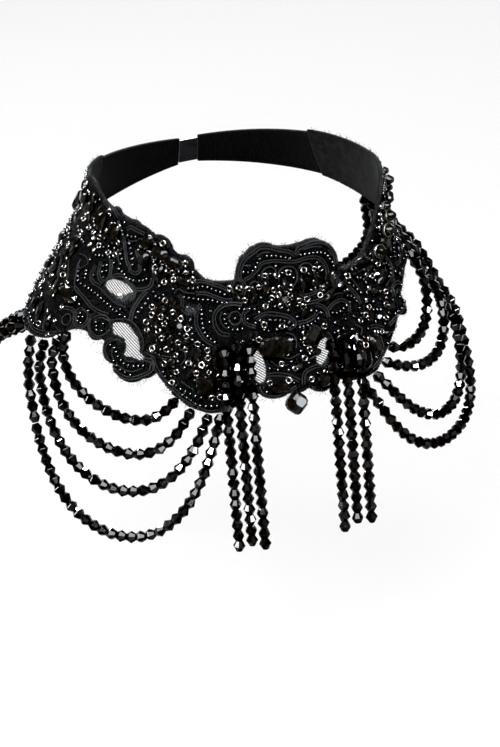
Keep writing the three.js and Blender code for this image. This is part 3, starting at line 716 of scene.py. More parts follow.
def add_ribbon(side):
    """A grosgrain ribbon from the lace to the nape, with a soft selvedge on both edges."""
    turn = 1 if side == "left" else -1
    gap = SEAM_GAP / math.radians(1) / NAPE_RADIUS if side == "left" else 0.3  # in degrees
    along = np.linspace(LACE_END + gap, BAND_END, 90)
    top = float(smooth(RIM, 1, turn * LACE_END)) - BAND_INSET
    foot = float(smooth(HEM, 1, LACE_END)) + BAND_INSET
    taper = (along - LACE_END) / (BAND_END - LACE_END)
    low = foot + (NAPE_LOW - foot) * taper
    high = top + (NAPE_HIGH - top) * taper
    # round the section: inner face, lower edge, outer face, upper edge
    steps, inner_face, outer_face, selvedge = 25, 0.25, 1.45, 0.22
    share = np.concatenate([np.linspace(1, 0, steps), np.linspace(0, 1, steps)])
    off = np.concatenate([np.full(steps, inner_face), np.full(steps, outer_face)])
    thick = np.where((share < 0.06) | (share > 0.94), selvedge, 0.0)
    off = off + np.where(off < 1, -thick, thick)
    a = np.repeat(along * turn, len(share))
    h = (low[:, None] + (high - low)[:, None] * share[None]).ravel()
    points = on_wall(a, h, np.tile(off, len(along)))
    n, faces = len(share), []
    for i in range(len(along) - 1):
        for k in range(n):
            j = (k + 1) % n
            faces.append([i * n + k, i * n + j, (i + 1) * n + j, (i + 1) * n + k][::turn])
    last = (len(along) - 1) * n
    faces += [list(range(n))[::-turn], list(range(last, last + n))[::turn]]
    uv = np.stack([a * math.radians(1) * NAPE_RADIUS, h + np.tile(off, len(along)) * 2], -1)
    ribbon = piece(f"ribbon_{side}", (points, faces, uv), RIBBON, flat=False,
                   replaces=[f"back_band_{side}"])


add_ribbon("left")
add_ribbon("right")
clasp = NODES["nape_clasp"]
clasp.data.materials.clear()
clasp.data.materials.append(CLASP_METAL)
bevel = clasp.modifiers.new("rounded_edges", "BEVEL")
bevel.width, bevel.segments, bevel.limit_method = 0.0004, 3, "ANGLE"


# ---- cords, seed beads, ring beads and small stones sewn on the lace ----
# Each cord is a smooth line through places (angle, height), with the sideways offsets in mm at
# which parallel cords run.
PAIR = (-0.5, 0.5)
CORDS = [
    # crest
    (PAIR, [(-18, 15), (-17.6, 20), (-15.5, 24), (-12, 26.6), (-9, 28), (-5.5, 27.2), (-2, 25.6),
            (1.5, 24.4), (3.6, 22.4)]),
    (PAIR, [(4.4, 22.4), (4.8, 24.6), (8, 25.6), (12, 25.8), (15.5, 24.8), (18.4, 22.6), (20.3, 19),
            (20.8, 14)]),
    (PAIR, [(-16.2, 15.5), (-13.5, 17.2), (-11, 19.6), (-9.5, 21.6), (-6.5, 22), (-3, 21.6),
            (0.5, 20.6), (4, 20), (8.5, 20.3), (12.5, 19.4), (15, 17), (16.5, 13), (15.8, 9)]),
    ((0,), [(-10, 15), (-9.3, 18.3), (-6.8, 19.8), (-4.7, 18.6), (-4.3, 16.5)]),
    ((0,), [(-3.5, 13), (-3.3, 16.4), (-1.8, 18.4), (0.6, 18.6), (2.8, 17.4), (3.8, 15), (3.4, 12),
            (2.2, 9.5)]),
    ((0,), [(4.6, 17), (6.4, 18.4), (9, 17.8), (10.4, 15.6), (10.7, 12.4), (9.8, 9)]),
    ((0,), [(-11, 24.6), (-8.8, 26), (-6, 25.7)]), ((0,), [(7, 24.1), (11, 24.3), (15, 23.2)]),
    ((0,), [(-13.6, 21.4), (-15.8, 21.6)]), ((0,), [(17.8, 21), (19.2, 18.2)]),
    # between the crest and the throat
    (PAIR, [(-21.5, 13), (-19.8, 15.6), (-17.2, 15), (-16.4, 12), (-17.4, 9)]),
    ((0,), [(-14.4, 13.6), (-12.6, 14.6), (-11, 13.6)]),
    (PAIR, [(4.4, 6.2), (6.4, 4.8), (9.5, 4.6), (12.5, 5.4), (15.5, 7.2)]),
    (PAIR, [(7.5, 1.4), (11, 1.2), (15, 2.2), (19, 4), (22.5, 7)]),
    (PAIR, [(10.4, 0), (13, -1.4), (14.6, -3.8), (14.8, -6.4)]),
    (PAIR, [(-15.6, 3), (-17.6, 1.6), (-18, -1), (-16.4, -3.2), (-13.8, -4)]),
    (PAIR, [(-13.6, -1.2), (-9.6, 0.4), (-5, -0.4), (-1, -2.2), (0.8, -5), (-1.4, -7.6)]),
    (PAIR, [(2, -5.2), (5, -5.6), (8.5, -4.8), (11, -3)]),
    ((0,), [(-2.6, -8.4), (-0.4, -9.6), (0.6, -12), (0.2, -15)]),
    ((0,), [(-13.6, -15), (-10, -16.4), (-6, -17), (-3, -18.4), (1, -17.4)]),
    ((0,), [(-9.6, -18.2), (-7, -20.8), (-3.4, -20.6)]),
    ((0,), [(6.6, -15.4), (8.4, -16.4), (7, -19), (4.6, -20.4)]),
    # petals at the foot of the throat
    (PAIR, [(-14.4, -29.5), (-14.6, -26), (-12, -23.6), (-8, -23.6), (-4, -25), (-0.6, -27.6)]),
    (PAIR, [(-14, -30.4), (-10.5, -32), (-6, -31.6), (-2, -29.6)]),
    (PAIR, [(0.6, -29.4), (1.6, -25.4), (4.8, -23.8), (9, -24), (12, -26.4), (12.4, -29.8)]),
    ((0,), [(0.8, -31.4), (4, -33.4), (8.4, -33.4), (12, -31.4)]),
    # rosette
    ((0,), [(-23.4, 0), (-22.4, 2), (-20.6, 2.6), (-19, 1.4), (-18.8, -0.8), (-20, -2.4),
            (-22, -2.4), (-23.4, -0.6)]),
    (PAIR, [(-18, 5.4), (-21, 6.2), (-24.4, 5.8), (-27.2, 4), (-28.6, 1), (-28.4, -2.4),
            (-26.6, -5.4), (-23.4, -6.6)]),
    ((0,), [(-25.6, 3.2), (-26.6, 0.4), (-25.8, -2.6), (-24, -4.2)]),
    (PAIR, [(-35, 5.4), (-35.4, 1.6), (-35.4, -2), (-34, -5.6), (-31.8, -8.4), (-28.6, -10.4)]),
    (PAIR, [(-34.8, 10.8), (-31, 10.8), (-27.4, 9.2), (-24.4, 8), (-21.4, 7.6)]),
    (PAIR, [(-36.6, 15), (-32.6, 15.4), (-28, 14), (-24.6, 12.6), (-22.4, 10.8)]),
    ((0,), [(-43.6, 10.2), (-41.6, 12.4), (-38.6, 11.2), (-35.4, 10.8)]),
    (PAIR, [(-41.8, 9.8), (-40.4, 7.4), (-40.6, 4.6), (-38.6, 2.6), (-35.8, 3.2), (-33.6, 5.8)]),
    # leaf and finger beside the upper window
    (PAIR, [(-67, 37), (-65.6, 31), (-65, 25), (-63.4, 19.8), (-60, 17.2), (-57.4, 18), (-57.2, 22),
            (-58.6, 26.5)]),
    (PAIR, [(-62.6, 34.6), (-60.4, 35.6), (-57.4, 34.6), (-55, 33.4)]),
    ((0,), [(-63, 29.6), (-60.4, 29.8), (-57.6, 30.8)]),
    (PAIR, [(-64, 13.4), (-61, 10.8), (-57, 10.6), (-53.4, 12.2), (-52.2, 15.4)]),
    (PAIR, [(-76.4, 18), (-76.2, 13.4), (-73.6, 10.8), (-71.2, 12.4), (-71, 16.4), (-71.8, 20)]),
    # scroll along the windows
    (PAIR, [(-86.6, 16.4), (-86.2, 11.6), (-85.2, 7.6), (-82.4, 5.6), (-78.6, 3.8), (-75.4, 1.6),
            (-71.6, 0.2), (-67.8, -0.4)]),
    (PAIR, [(-78.6, 16), (-79.4, 12), (-77.4, 9.8), (-74, 8.8), (-70.4, 6.8), (-66.6, 4.6),
            (-62.2, 3.6)]),
    ((0,), [(-88.4, 18), (-84.6, 18), (-82.6, 16.2), (-84.4, 13.8), (-86.6, 14.6)]),
    (PAIR, [(-59.8, -1.6), (-59, 3), (-56.8, 7.4), (-54.6, 10.2)]),
    (PAIR, [(-60.4, 5.8), (-59.4, 9.4), (-61.4, 12.6), (-64.6, 14.6), (-68.4, 14.4),
            (-70.6, 11.6)]),
    ((0,), [(-66, -2), (-62.4, -1.2), (-58.8, -2.2), (-55.6, -5.6), (-54, -9.6), (-54.4, -14.2)]),
    # petal, heart and hook
    (PAIR, [(-79.4, -0.6), (-81.2, -3.4), (-80, -7), (-77.4, -7.4), (-75.6, -4.6), (-76.4, -1.4),
            (-79, -0.6)]),
    (PAIR, [(-72.4, -1), (-74.8, -3.6), (-73.6, -7.2), (-70.6, -9.6), (-67.6, -8.2), (-66.2, -4.8),
            (-68, -1.8), (-71, -1.6), (-73, -3.2)]),
    (PAIR, [(-60.6, -10.6), (-62.8, -8.8), (-65.8, -10), (-66.8, -13.6), (-64.6, -18),
            (-61, -21.6), (-57, -23), (-53, -21.6), (-50.2, -19.4), (-50.4, -16.4), (-54, -15.6),
            (-58.4, -16.4), (-60.4, -13.8)]),
    ((0,), [(-64, -12), (-63.6, -15.6), (-60.4, -19.2), (-56.4, -20.4), (-53, -18.8)]),
    # lower left
    ((0,), [(-85.4, -5), (-83.6, -4.2), (-82.2, -6), (-83, -8.2), (-85, -8.4), (-86, -6.6),
            (-85.2, -5)]),
    (PAIR, [(-88.6, -3.8), (-85.8, -2.4), (-82.2, -2.6), (-80.6, -5.6), (-81.4, -9.4)]),
    ((0,), [(-87.4, -10.4), (-84.6, -11.6), (-82, -11)]),
    (PAIR, [(-53, -12.4), (-50.6, -13.8), (-46.6, -14.6), (-42.6, -15)]),
    ((0,), [(-41.4, -11.4), (-39.6, -12.4), (-39.2, -15), (-40.8, -17.4)]),
    (PAIR, [(-50.4, -14.6), (-48.8, -19), (-46.2, -23), (-43, -26.4), (-39.8, -29.6),
            (-36, -32.4)]),
    ((0,), [(-40.4, -23.6), (-38, -25.6), (-35.8, -26.8)]),
    (PAIR, [(-35, -33.6), (-31, -35.4), (-26.8, -34.6), (-23.6, -31.4)]),
    # far left
    (PAIR, [(-79, 44), (-77.4, 41.4), (-73.6, 40.4), (-70.6, 41), (-67.6, 38.4)]),
    ((0,), [(-84.4, 42.4), (-88.4, 40.4), (-90.8, 36), (-89.6, 31)]),
    ((0,), [(-73.8, 34.4), (-74.4, 30.4), (-73.8, 26.6)]),
    ((0,), [(-66.8, 25.4), (-68.6, 22.4), (-67.4, 19)]),
    (PAIR, [(-101, 13), (-98, 8), (-96.4, 3), (-97.4, -2)]),
    ((0,), [(-94.4, 13.6), (-91.4, 9.6), (-90.4, 7)]),
    ((0,), [(-99.4, -5.4), (-100.4, -9), (-98.4, -13)]),
    ((0,), [(-94.2, -9), (-93.4, -12.4), (-92.4, -14.6)]),
    (PAIR, [(-112, 30), (-106, 26), (-101.5, 27), (-97.4, 31), (-96, 36)]),
    (PAIR, [(-126, 36), (-121, 30), (-119, 23), (-121, 16), (-117, 10)]),
    (PAIR, [(-110, 40), (-115, 36), (-114, 30), (-109, 28)]),
    ((0,), [(-108, 12), (-112, 8), (-111, 2), (-106, -1)]),
    (PAIR, [(-104, -14), (-98, -15.6), (-92, -14.6), (-86, -12.6)]),
    # right
    (PAIR, [(24.6, 10.4), (28, 11.2), (32, 11.2), (36.4, 13.4), (40.4, 16.6)]),
    (PAIR, [(25, 5.4), (27.2, 1.4), (29.4, -2.4), (30.2, -6)]),
    ((0,), [(27.6, 6.4), (29.8, 3), (31.8, -0.6)]),
    ((0,), [(28.6, 7.2), (33, 6.6), (37.6, 6.8), (41, 5.6)]),
    ((0,), [(40.4, 12.4), (42.4, 8.6), (44.6, 6.8)]),
    (PAIR, [(45.6, 5.4), (49.6, 7), (54.6, 9.6), (59.6, 13.4)]),
    (PAIR, [(50.6, 6), (52.8, 2.6), (52, -1), (49, -3.4), (45.6, -4.6)]),
    ((0,), [(41, -1.6), (44.6, -2), (47.6, 0.6), (49.4, 3.6)]),
    (PAIR, [(15.4, -3.4), (18.4, -1.6), (22, -1.6), (24.6, -4), (24.4, -7)]),
    ((0,), [(17, 0.4), (20, 1.6), (23.4, 0.8)]),
    ((0,), [(13.2, -12), (14.6, -14.6), (14.4, -17.6)]),
    ((0,), [(25.4, -12.6), (27.8, -15.2), (26.6, -17.4)]),
    (PAIR, [(46.8, -9.4), (48.4, -6.6), (51.6, -5.6), (54.2, -7), (54.6, -10), (52.4, -13.2),
            (49, -15.6), (45, -17.2), (40.4, -18.6)]),
    ((0,), [(49.2, -9), (51, -8), (52.2, -9.6), (50.6, -12)]),
    (PAIR, [(31.6, -16), (34.4, -16.6), (37.4, -18.6)]),
    ((0,), [(28.6, -25), (28, -29), (25, -31.4)]),
    (PAIR, [(34.4, -21), (34.2, -25.4), (31.6, -29.4), (27.4, -31.4)]),
    (PAIR, [(41, 20), (46, 23.4), (52, 28.8), (58, 32), (66, 34.6), (76, 35.6)]),
    (PAIR, [(56, 6), (61, 12.4), (66.6, 17.4), (73, 21.4), (80, 24)]),
    (PAIR, [(56.6, 0), (62, 0.4), (67, 4), (72, 8.4), (79, 12)]),
    ((0,), [(62, 22), (68, 29), (76, 30.6)]), ((0,), [(84, 30), (90, 26), (97, 28), (104, 33)]),
    (PAIR, [(84, 15), (92, 18.6), (100, 16), (108, 20)]), ((0,), [(112, 14), (118, 22), (125, 24)]),
    (PAIR, [(84, 35.4), (96, 35), (108, 35.4), (122, 36)])]

# Rows of seed beads, each a smooth line through places.
SEED_ROWS = [
    [(-16.4, 19), (-14, 18.8), (-12.2, 19.8), (-11.2, 21.8), (-10, 23.8)],
    [(-7.4, 24.5), (-5, 24.1), (-3, 23.7), (-1.2, 23), (1.2, 21.9)],
    [(5.6, 22.4), (9.7, 21.9), (13.5, 21.3), (15.6, 20.4), (17.2, 18.6), (18.4, 16.4), (19.2, 14)],
    [(-13.6, -2.4), (-11.4, -1.5), (-8, -1.8), (-4.6, -2.8), (-1.6, -3.7), (-0.2, -5.4)],
    [(-12, -4.4), (-10.6, -5.8), (-8, -6.7), (-5, -6.9), (-2.2, -6)],
    [(0.6, -6.4), (3.8, -7.1), (7.4, -7), (10.4, -5.6)], [(6, -2.4), (9, -2), (11.8, -3.6)],
    [(-40.8, 13.2), (-37.8, 12.9), (-34.4, 13), (-31.4, 13.4), (-28, 11.9), (-24.8, 10.5),
     (-22.6, 9), (-20.2, 6.4)],
    [(-39.6, 9), (-36.2, 8.5), (-33, 8), (-29.8, 8), (-26.8, 7), (-23.4, 6.9)],
    [(-33.2, 4), (-33.2, 0), (-32.8, -3.4), (-31.4, -6.4), (-28.8, -8.8)],
    [(-24.6, 2), (-24.8, -0.8), (-23.8, -3.2), (-21.4, -4.6), (-18.6, -4.4)],
    [(-19.2, 3.6), (-16.6, 3.2), (-14, 3.2), (-12, 1.6)], [(-21, 0), (-20.4, 0.6)],
    [(-61.9, 28.6), (-61.6, 25.6), (-61, 22.6), (-60, 20.4)],
    [(-65.4, 16.4), (-62.6, 15), (-59.6, 14.3), (-56.6, 14.2), (-54.4, 15.2)],
    [(-61.8, 32), (-59.4, 31.9), (-56.8, 32.7), (-54.2, 33.2)],
    [(-74.4, 17), (-74.2, 14.4), (-73.2, 12.8)], [(-72.8, 17.6), (-72.6, 15.4)],
    [(-84.4, 12.6), (-83.4, 9.6), (-80.4, 7.8), (-77, 6.8), (-73.6, 5.6), (-70.4, 3.8),
     (-67.4, 2.4), (-64.4, 1.4), (-61.6, -0.4)],
    [(-81.8, 13.4), (-81.4, 10.6)], [(-57.4, 0), (-56.6, 2.6), (-54.8, 4.8), (-53.4, 7.6)],
    [(-66.4, 2.9), (-63.4, 2.4)], [(-79, -2.4), (-79.2, -5.4)], [(-77.6, -3.4), (-77.8, -5.8)],
    [(-71.4, -3.8), (-70.6, -6.6)], [(-69, -4), (-69, -6.6)],
    [(-64.6, -11.4), (-62.6, -12.6), (-62, -15.2), (-59.4, -17.6), (-56, -18.4), (-52.6, -17.8)],
    [(-62.6, -17), (-60, -20), (-56.4, -21.6)],
    [(-43.6, -21.6), (-42.4, -24.4), (-39.8, -26.9), (-36.6, -28.3), (-33.6, -29.4)],
    [(-46.4, -20), (-44.4, -24), (-41.2, -27.4), (-37.4, -30.4), (-33.4, -32.6), (-28.6, -33)],
    [(-52, 0.4), (-50, 2)], [(-46.4, -4), (-45, -8)],
    [(-51.6, 10.4), (-49.6, 8), (-47.6, 9.6)], [(-37, -3), (-36.6, -7.6)],
    [(-70, 24.6), (-67.6, 24), (-66.2, 21.4), (-67, 17.4)], [(-79, 20), (-75.6, 20.6), (-72, 20.8)],
    [(-83.6, 30.4), (-80, 30.8)], [(-65, 35), (-64.6, 32)],
    [(26.2, 9), (29.4, 9.2), (33, 9), (36.2, 9.3), (39, 8.6)],
    [(28.6, 12.6), (32.4, 12.6), (36, 14.6)],
    [(26.4, 4), (28.2, 2.6), (29.8, 0.4)], [(31, 4.6), (33.6, 3.6), (35, 1.4)],
    [(24.6, -0.6), (27, -1.8), (28.4, -4)], [(25, -3.4), (22.4, -4.6), (19, -5.8), (16.6, -5)],
    [(31.4, -1.6), (32.8, -3.8)], [(22, 1.8), (25, 1.6)],
    [(46.8, -2), (49.6, -1.4), (51, 0.8), (50, 3.4), (47.4, 4.4)],
    [(54, -7.4), (53.6, -10.4), (51, -13), (48.2, -14.8), (44.6, -15.8)],
    [(57, 3.4), (61.6, 9), (67, 13), (74, 16.6), (82, 18.6)],
    [(44, 20), (50, 25), (56, 29)], [(60, 29.4), (68, 31.8), (78, 33)],
    [(28.8, -7), (29.4, -10), (31.4, -12.8)], [(35, -10), (38.4, -11.4)],
    [(-112, 20), (-108, 15), (-105, 9), (-106, 3)], [(-104, 22), (-100.4, 19), (-98, 15)],
    [(-124, 28), (-122, 20), (-118.4, 14)], [(-96, 26), (-92, 23.6), (-88, 22.6)],
    [(-104, 36), (-100, 38), (-95, 38.6)], [(88, 22), (96, 22), (104, 26)], [(108, 29), (116, 31)],
    [(-103.6, -12.6), (-98, -14), (-92.6, -12.8)]]

# Ring beads: places (angle, height).
RINGS = [
    (-8.5, 16.6), (-4.2, 15.8), (0.3, 16.2), (6.5, 15.8), (11.2, 15.2), (13, 14.8), (-19.3, 14.8),
    (-18.7, 12.6), (-22.2, 12.4), (-15.2, 11.7), (-11.2, 12.1), (-3, 10.3), (1, 9), (0.6, 7.1),
    (-5.6, 9.4), (-6.3, 6.9), (-4.2, 7.5), (-16.8, 6.9), (-9.4, 3.5), (-3.5, 2.8), (-0.7, 3.2),
    (3.8, 3.4), (7, 3.2), (10.9, 8.9), (11.6, 7.3), (14.1, 5.9), (12.8, 3.4), (18.4, 4.5),
    (19.3, 10.3), (22.8, 11.4), (23.4, 9.1), (26, 7.4), (-10.6, -3.3), (-4, -5.4), (-13, -9.3),
    (-3.6, -16), (4.2, -9.8), (4.1, -14.3), (4.7, -15.9), (12.3, -9.2), (2.6, -19.4), (-6, -19.8),
    (-1.5, -22.5), (-11, -26), (-4.3, -26.4), (3.5, -27.7), (12.2, -13), (5.2, 0.6), (9, -26.2),
    (-46.4, 31), (-42.2, 28), (-38, 23.2), (-38, 19.4), (-55.8, 28.8), (-53, 26), (-50.7, 24.6),
    (-50.7, 20.4), (-47.4, 22.5), (-45.4, 21.6), (-43.5, 18.7), (-43.4, 16.4), (-47.2, 14.7),
    (-35.9, 16.1), (-51.8, 4.4), (-51.8, 1.7), (-47, 7.3), (-44, 3), (-41, 0.5), (-48.2, 0.7),
    (-47, -1.4), (-38.7, -3.5), (-38.9, -6.2), (-53.6, -1.6), (-53, -4.2), (-48.7, -4.9),
    (-47.8, -6.7), (-41.8, -8.7), (-50.6, -11.3), (-45.6, -11.4), (-42.4, -13.5), (-46.2, -16.8),
    (-42, -20), (-38, -16.6), (-35, -9.3), (-31.5, -12), (-35.3, -20.5), (-31, -20.3),
    (-27.7, -22), (-30.1, -29.6), (-27.6, -29.6), (-39.1, -11.4), (-31.4, -14.6), (-43.4, -24),
    (-26.6, -14), (-73.6, 39), (-75.8, 30.6), (-66.6, 34.8), (-68.6, 27.4), (-85, 32.6),
    (-87.4, 28.6), (-83.6, 28), (-79.6, 27), (-78.8, 24), (-81, 21.6), (-73.2, 22.5),
    (-69.8, 22.3), (-93.6, 30.2), (-92, 25.2), (-99.2, 18), (-95.2, 13.6), (-94.8, 10.8),
    (-93.4, 8), (-103.6, 8.6), (-101.2, 4.6), (-89.4, 6), (-97.4, 1.6), (-94, -0.6), (-108, 14.6),
    (-110.6, 2.6), (-106.2, -0.8), (-87.6, -2.7), (-83.3, 2.2), (-101.4, -4), (-93.6, -7),
    (-88.5, -8.4), (-102, -10.4), (-95.8, -12.6), (-89.4, -14.4), (-107, -2), (-110, 12),
    (-107, 21), (-113, 26), (-118, 33), (-121, 38), (-104, 31), (-100, 34), (-93, 41), (-98, 43),
    (-116, 3), (-112, -8), (-125, 24), (-118, 12), (-115, 18), (-84, 23), (-92, 33), (55.6, 38.2),
    (58.6, 36.6), (59.4, 32.6), (55.4, 29.6), (54.4, 26), (53.2, 22.8), (50.6, 18.6), (46.6, 14.2),
    (41.4, 11), (39.4, 2.4), (44.5, 5.4), (36.2, 4), (41.6, 13.4), (42, -10.5), (39.8, -15.2),
    (33.2, -5.6), (33.6, -8.2), (28, -12), (31, -10.6), (29.5, -20), (27.2, -21.4), (33.4, -18.6),
    (25.4, -19.8), (44, -6), (30.4, -27.6), (35.8, -19.6), (36, -1.4), (45.6, 1.4), (46.6, 10),
    (52.6, 15.4), (47.6, 15), (55, 11), (57.6, 19.6), (61.4, 17), (62.8, 24.4), (65, 29),
    (71.6, 25.4), (69.6, 21), (74, 28.6), (79, 27), (58, 25), (54, 21), (64, 8), (70, 13),
    (76, 20), (84, 22), (90, 31), (96, 31), (102, 24), (112, 26), (92, 13), (104, 13), (118, 17),
    (80, 8.6), (121, 31), (-33.6, -17.4), (-24.6, -19), (17.6, -13), (19.6, -20), (22.4, -24),
    (16.6, -27)]

# Small stones of each shape: angle, height, size along, size across and turn, and for some the
# tilts about up and east.
SMALL_STONES = {
    "navette": [
        (-20.3, 9.4, 7.4, 2.8, 112), (-13, 9.6, 6.2, 3.0, 100), (16.4, 1.4, 6.4, 2.8, 20),
        (22.6, 4.8, 6.4, 3.0, 30), (-8, -28.4, 8.6, 4.2, -8), (-13.4, 7, 4.6, 2.2, 60),
        (0.4, -22, 4.6, 2.4, 60), (-51, 17.2, 7.4, 2.8, 100), (-48.4, 19.8, 3.4, 2.2, 50, 16, -16),
        (-46.6, 18.2, 5.0, 2.6, 70), (-48.4, 3.8, 6.4, 3.4, 12), (-43, 5, 5.6, 2.4, -8),
        (-50.8, -2.2, 6.0, 3.0, -50), (-50.4, -7.6, 6.4, 3.2, -60), (-45.6, -3.6, 5.2, 2.8, -60),
        (-44.8, -8.6, 5.4, 2.8, 80), (-48.6, -14, 4.4, 2.4, -30), (-35, -13.4, 6.2, 3.2, 70),
        (-28.6, -12.6, 6.2, 3.2, 100), (-28.8, -17.4, 5.4, 3.0, 90), (-37.6, -21, 5.0, 2.8, 50),
        (-39.4, -8.8, 4.2, 2.2, 0), (-98, 15.6, 9.6, 3.2, 46), (-101.4, 7, 9.6, 3.2, 42),
        (-98.6, 3.8, 8.4, 3.0, 44), (-92.8, 2.6, 7.4, 3.0, 46), (-94, 21.2, 6.8, 3.4, 58),
        (-88.2, 37, 6.8, 3.8, 72), (-82.4, 25.4, 5.4, 2.8, 110), (-97.4, -8.6, 8.0, 3.6, 84),
        (-91.2, -10.6, 7.6, 3.2, 84), (-103.4, -7.4, 7.0, 3.2, 80), (-101.4, 9.6, 6.6, 3.0, 70),
        (-84, 42, 6.0, 3.4, 70), (-109.6, 5.4, 6.6, 3.0, 70), (-111.6, 16.4, 6.6, 3.0, 60),
        (-92.4, 18, 6.4, 3.0, 60), (37.6, 6.6, 5.8, 2.8, 0), (44.4, 0, 8.0, 3.4, 23),
        (34.7, 10.9, 9.6, 3.4, -11), (56.6, -3.4, 5.0, 2.6, 30), (85, 27.4, 6.2, 3.0, 70),
        (97, 26.6, 6.2, 3.0, 80), (64, 3.8, 5.6, 2.8, 40)],
    "round": [
        (-2.4, 5.1, 5.0, 3.6, 0, 6, -14), (7.6, -18.2, 3.6, 3.2, 0), (7.6, -28.8, 6.0, 5.8, 0),
        (-41.5, -2.8, 3.9, 3.9, 0, 12, -12), (43.1, 1.6, 5.0, 3.8, 0, -8, -10),
        (38, -3.7, 3.5, 3.5, 0, -16, -10), (38, -21, 3.4, 3.0, 0)],
    "drop": [
        (4.7, 8.2, 3.6, 2.6, 20, 12, -16), (5.2, -1.6, 3.8, 2.4, 80, 10, -14),
        (-44, 8, 4.0, 2.9, 118, 14, -16), (36.7, -13.7, 3.8, 3.0, 0, -16, -8)],
    "oblong": [
        (17.4, 7.6, 5.6, 2.8, 30), (-53.4, 30.6, 8.0, 5.2, 20), (-47.4, 27, 7.4, 5.0, -20),
        (-42.2, 23.4, 7.4, 5.0, -28), (-39.6, 15.6, 5.4, 3.6, -20), (-55.2, 23.6, 6.4, 4.4, 60),
        (-43.9, -16.6, 3.8, 3.6, 0), (-78.6, 35, 11.6, 5.8, 64), (-70.6, 30.6, 8.4, 5.2, 62),
        (-97, 38.4, 7.4, 5.0, 60), (-107.6, 34, 6.6, 4.6, 60), (-116, 28, 6.4, 4.4, 70),
        (-123, 33, 6.4, 4.4, 80), (43.6, -12, 4.6, 3.4, 0, -10, -6), (31, -23.4, 8.6, 5.2, 84),
        (25.1, -25.4, 7.0, 3.2, 80, -14, -8), (110, 22.4, 6.2, 4.2, 80)]}

# Round stones in pale settings up the wearer's left: angle, height, diameter and depth.
SET_STONES = [
    (82, 31, 3.8, 3.2), (73, 30.4, 4.4, 3.6), (76.6, 25.6, 3.6, 3.0), (57.4, 25.4, 3.4, 3.0),
    (60.4, 20, 4.6, 3.8), (55.6, 15.6, 5.2, 4.2), (44, 11.4, 5.0, 4.0)]


def spline(places, step):
    """Evenly spaced points in flat mm along a smooth line through places."""
    flat = np.array(places, float) * FLAT
    if len(flat) == 2:
        flat = np.array([flat[0], flat.mean(0), flat[1]])
    padded = np.concatenate([[2 * flat[0] - flat[1]], flat, [2 * flat[-1] - flat[-2]]])
    line = []
    for p0, p1, p2, p3 in zip(padded, padded[1:], padded[2:], padded[3:]):
        for t in np.linspace(0, 1, 24, endpoint=False):
            line.append(0.5 * (2 * p1 + (p2 - p0) * t + (2 * p0 - 5 * p1 + 4 * p2 - p3) * t * t
                               + (3 * p1 - p0 - 3 * p2 + p3) * t ** 3))
    line = np.array(line + [flat[-1]])
    length = np.concatenate([[0], np.cumsum(np.linalg.norm(np.diff(line, axis=0), axis=1))])
    at = np.linspace(0, length[-1], max(int(length[-1] / step), 2) + 1)
    return np.stack([np.interp(at, length, line[:, k]) for k in (0, 1)], 1)


def sideways(flat, offset):
    """A line moved to its own left."""
    along = unit(np.gradient(flat, axis=0))
    return flat + np.stack([-along[:, 1], along[:, 0]], 1) * offset


def runs_of(kept, least):
    """The runs of kept places in a row, at least so many long, as arrays of indices."""
    runs = np.split(np.arange(len(kept)), np.flatnonzero(np.diff(kept.astype(int))) + 1)
    return [run for run in runs if kept[run[0]] and len(run) >= least]


def add_cords():
    parts = []
    for offsets, places in CORDS:
        for offset in offsets:
            a, h = (sideways(spline(places, step=0.4), offset) / FLAT).T
            lift = 0.12 + 0.05 * np.sin(np.arange(len(a)) * 0.35 + len(parts))
            for run in runs_of(lace_field(a, h) > 0.1, 5):
                out = basis_at(a[run], h[run])[2]
                line = front(a[run], h[run], lift[run])
                parts.append(tube(line, radius=0.26, sides=6, out=out, lobes=0.16))
    piece("corded_outlines", join(parts), CORD, flat=False)


def frame_of(z, x):
    """Axes as rows, from z and an x that is made square to it."""
    x = unit(x - z * (x * z).sum(-1, keepdims=True))
    return np.stack([x, np.cross(z, x), z], -2)


def frames_at(a, h, heading, tilt_x=0.0, tilt_y=0.0):
    """Axes of things on the lace: x along a heading in degrees from east, z outwards."""
    east, up, out = basis_at(a, h)
    t = np.radians(heading)[..., None]
    x = east * np.cos(t) + up * np.sin(t)
    out = out + x * np.radians(tilt_x)[..., None]
    y = np.cross(out, x)
    return frame_of(unit(out + y * np.radians(tilt_y)[..., None]), x)


def taken_places():
    """Flat places in mm that larger stones and rings cover, with their radii."""
    rows = [(a, h, 1.35) for a, h in RINGS]
    rows += [(r[0], r[1], max(r[2:4]) * 0.42) for kind in SMALL_STONES.values() for r in kind]
    rows += [(s[1], s[2], max(s[3:5]) * 0.45) for s in STONES.values()]
    rows += [(s[0], s[1], s[2] * 0.55) for s in SET_STONES]
    return np.array(rows)


def apart_from(flat, others, radii=0.0):
    """Distance from each flat place to the nearest of the others, less its radius."""
    nearest = np.full(len(flat), np.inf)
    for first in range(0, len(others), 256):
        block = others[first:first + 256]
        reach = radii[first:first + 256] if np.ndim(radii) else radii
        away = flat[:, None] - block[None]
        nearest = np.minimum(nearest, (np.hypot(away[..., 0], away[..., 1]) - reach).min(1))
    return nearest


def spread(flat, gap, kept=()):
    """Indices of places that keep a gap from each other and from the kept ones."""
    cells, chosen = {}, []

    def cell(p):
        return int(p[0] // gap), int(p[1] // gap)

    def free(p):
        i, j = cell(p)
        return all(math.hypot(p[0] - q[0], p[1] - q[1]) >= gap
                   for u in (-1, 0, 1) for v in (-1, 0, 1) for q in cells.get((i + u, j + v), ()))

    for p in kept:
        cells.setdefault(cell(p), []).append(p)
    for n, p in enumerate(flat):
        if free(p):
            cells.setdefault(cell(p), []).append(p)
            chosen.append(n)
    return chosen


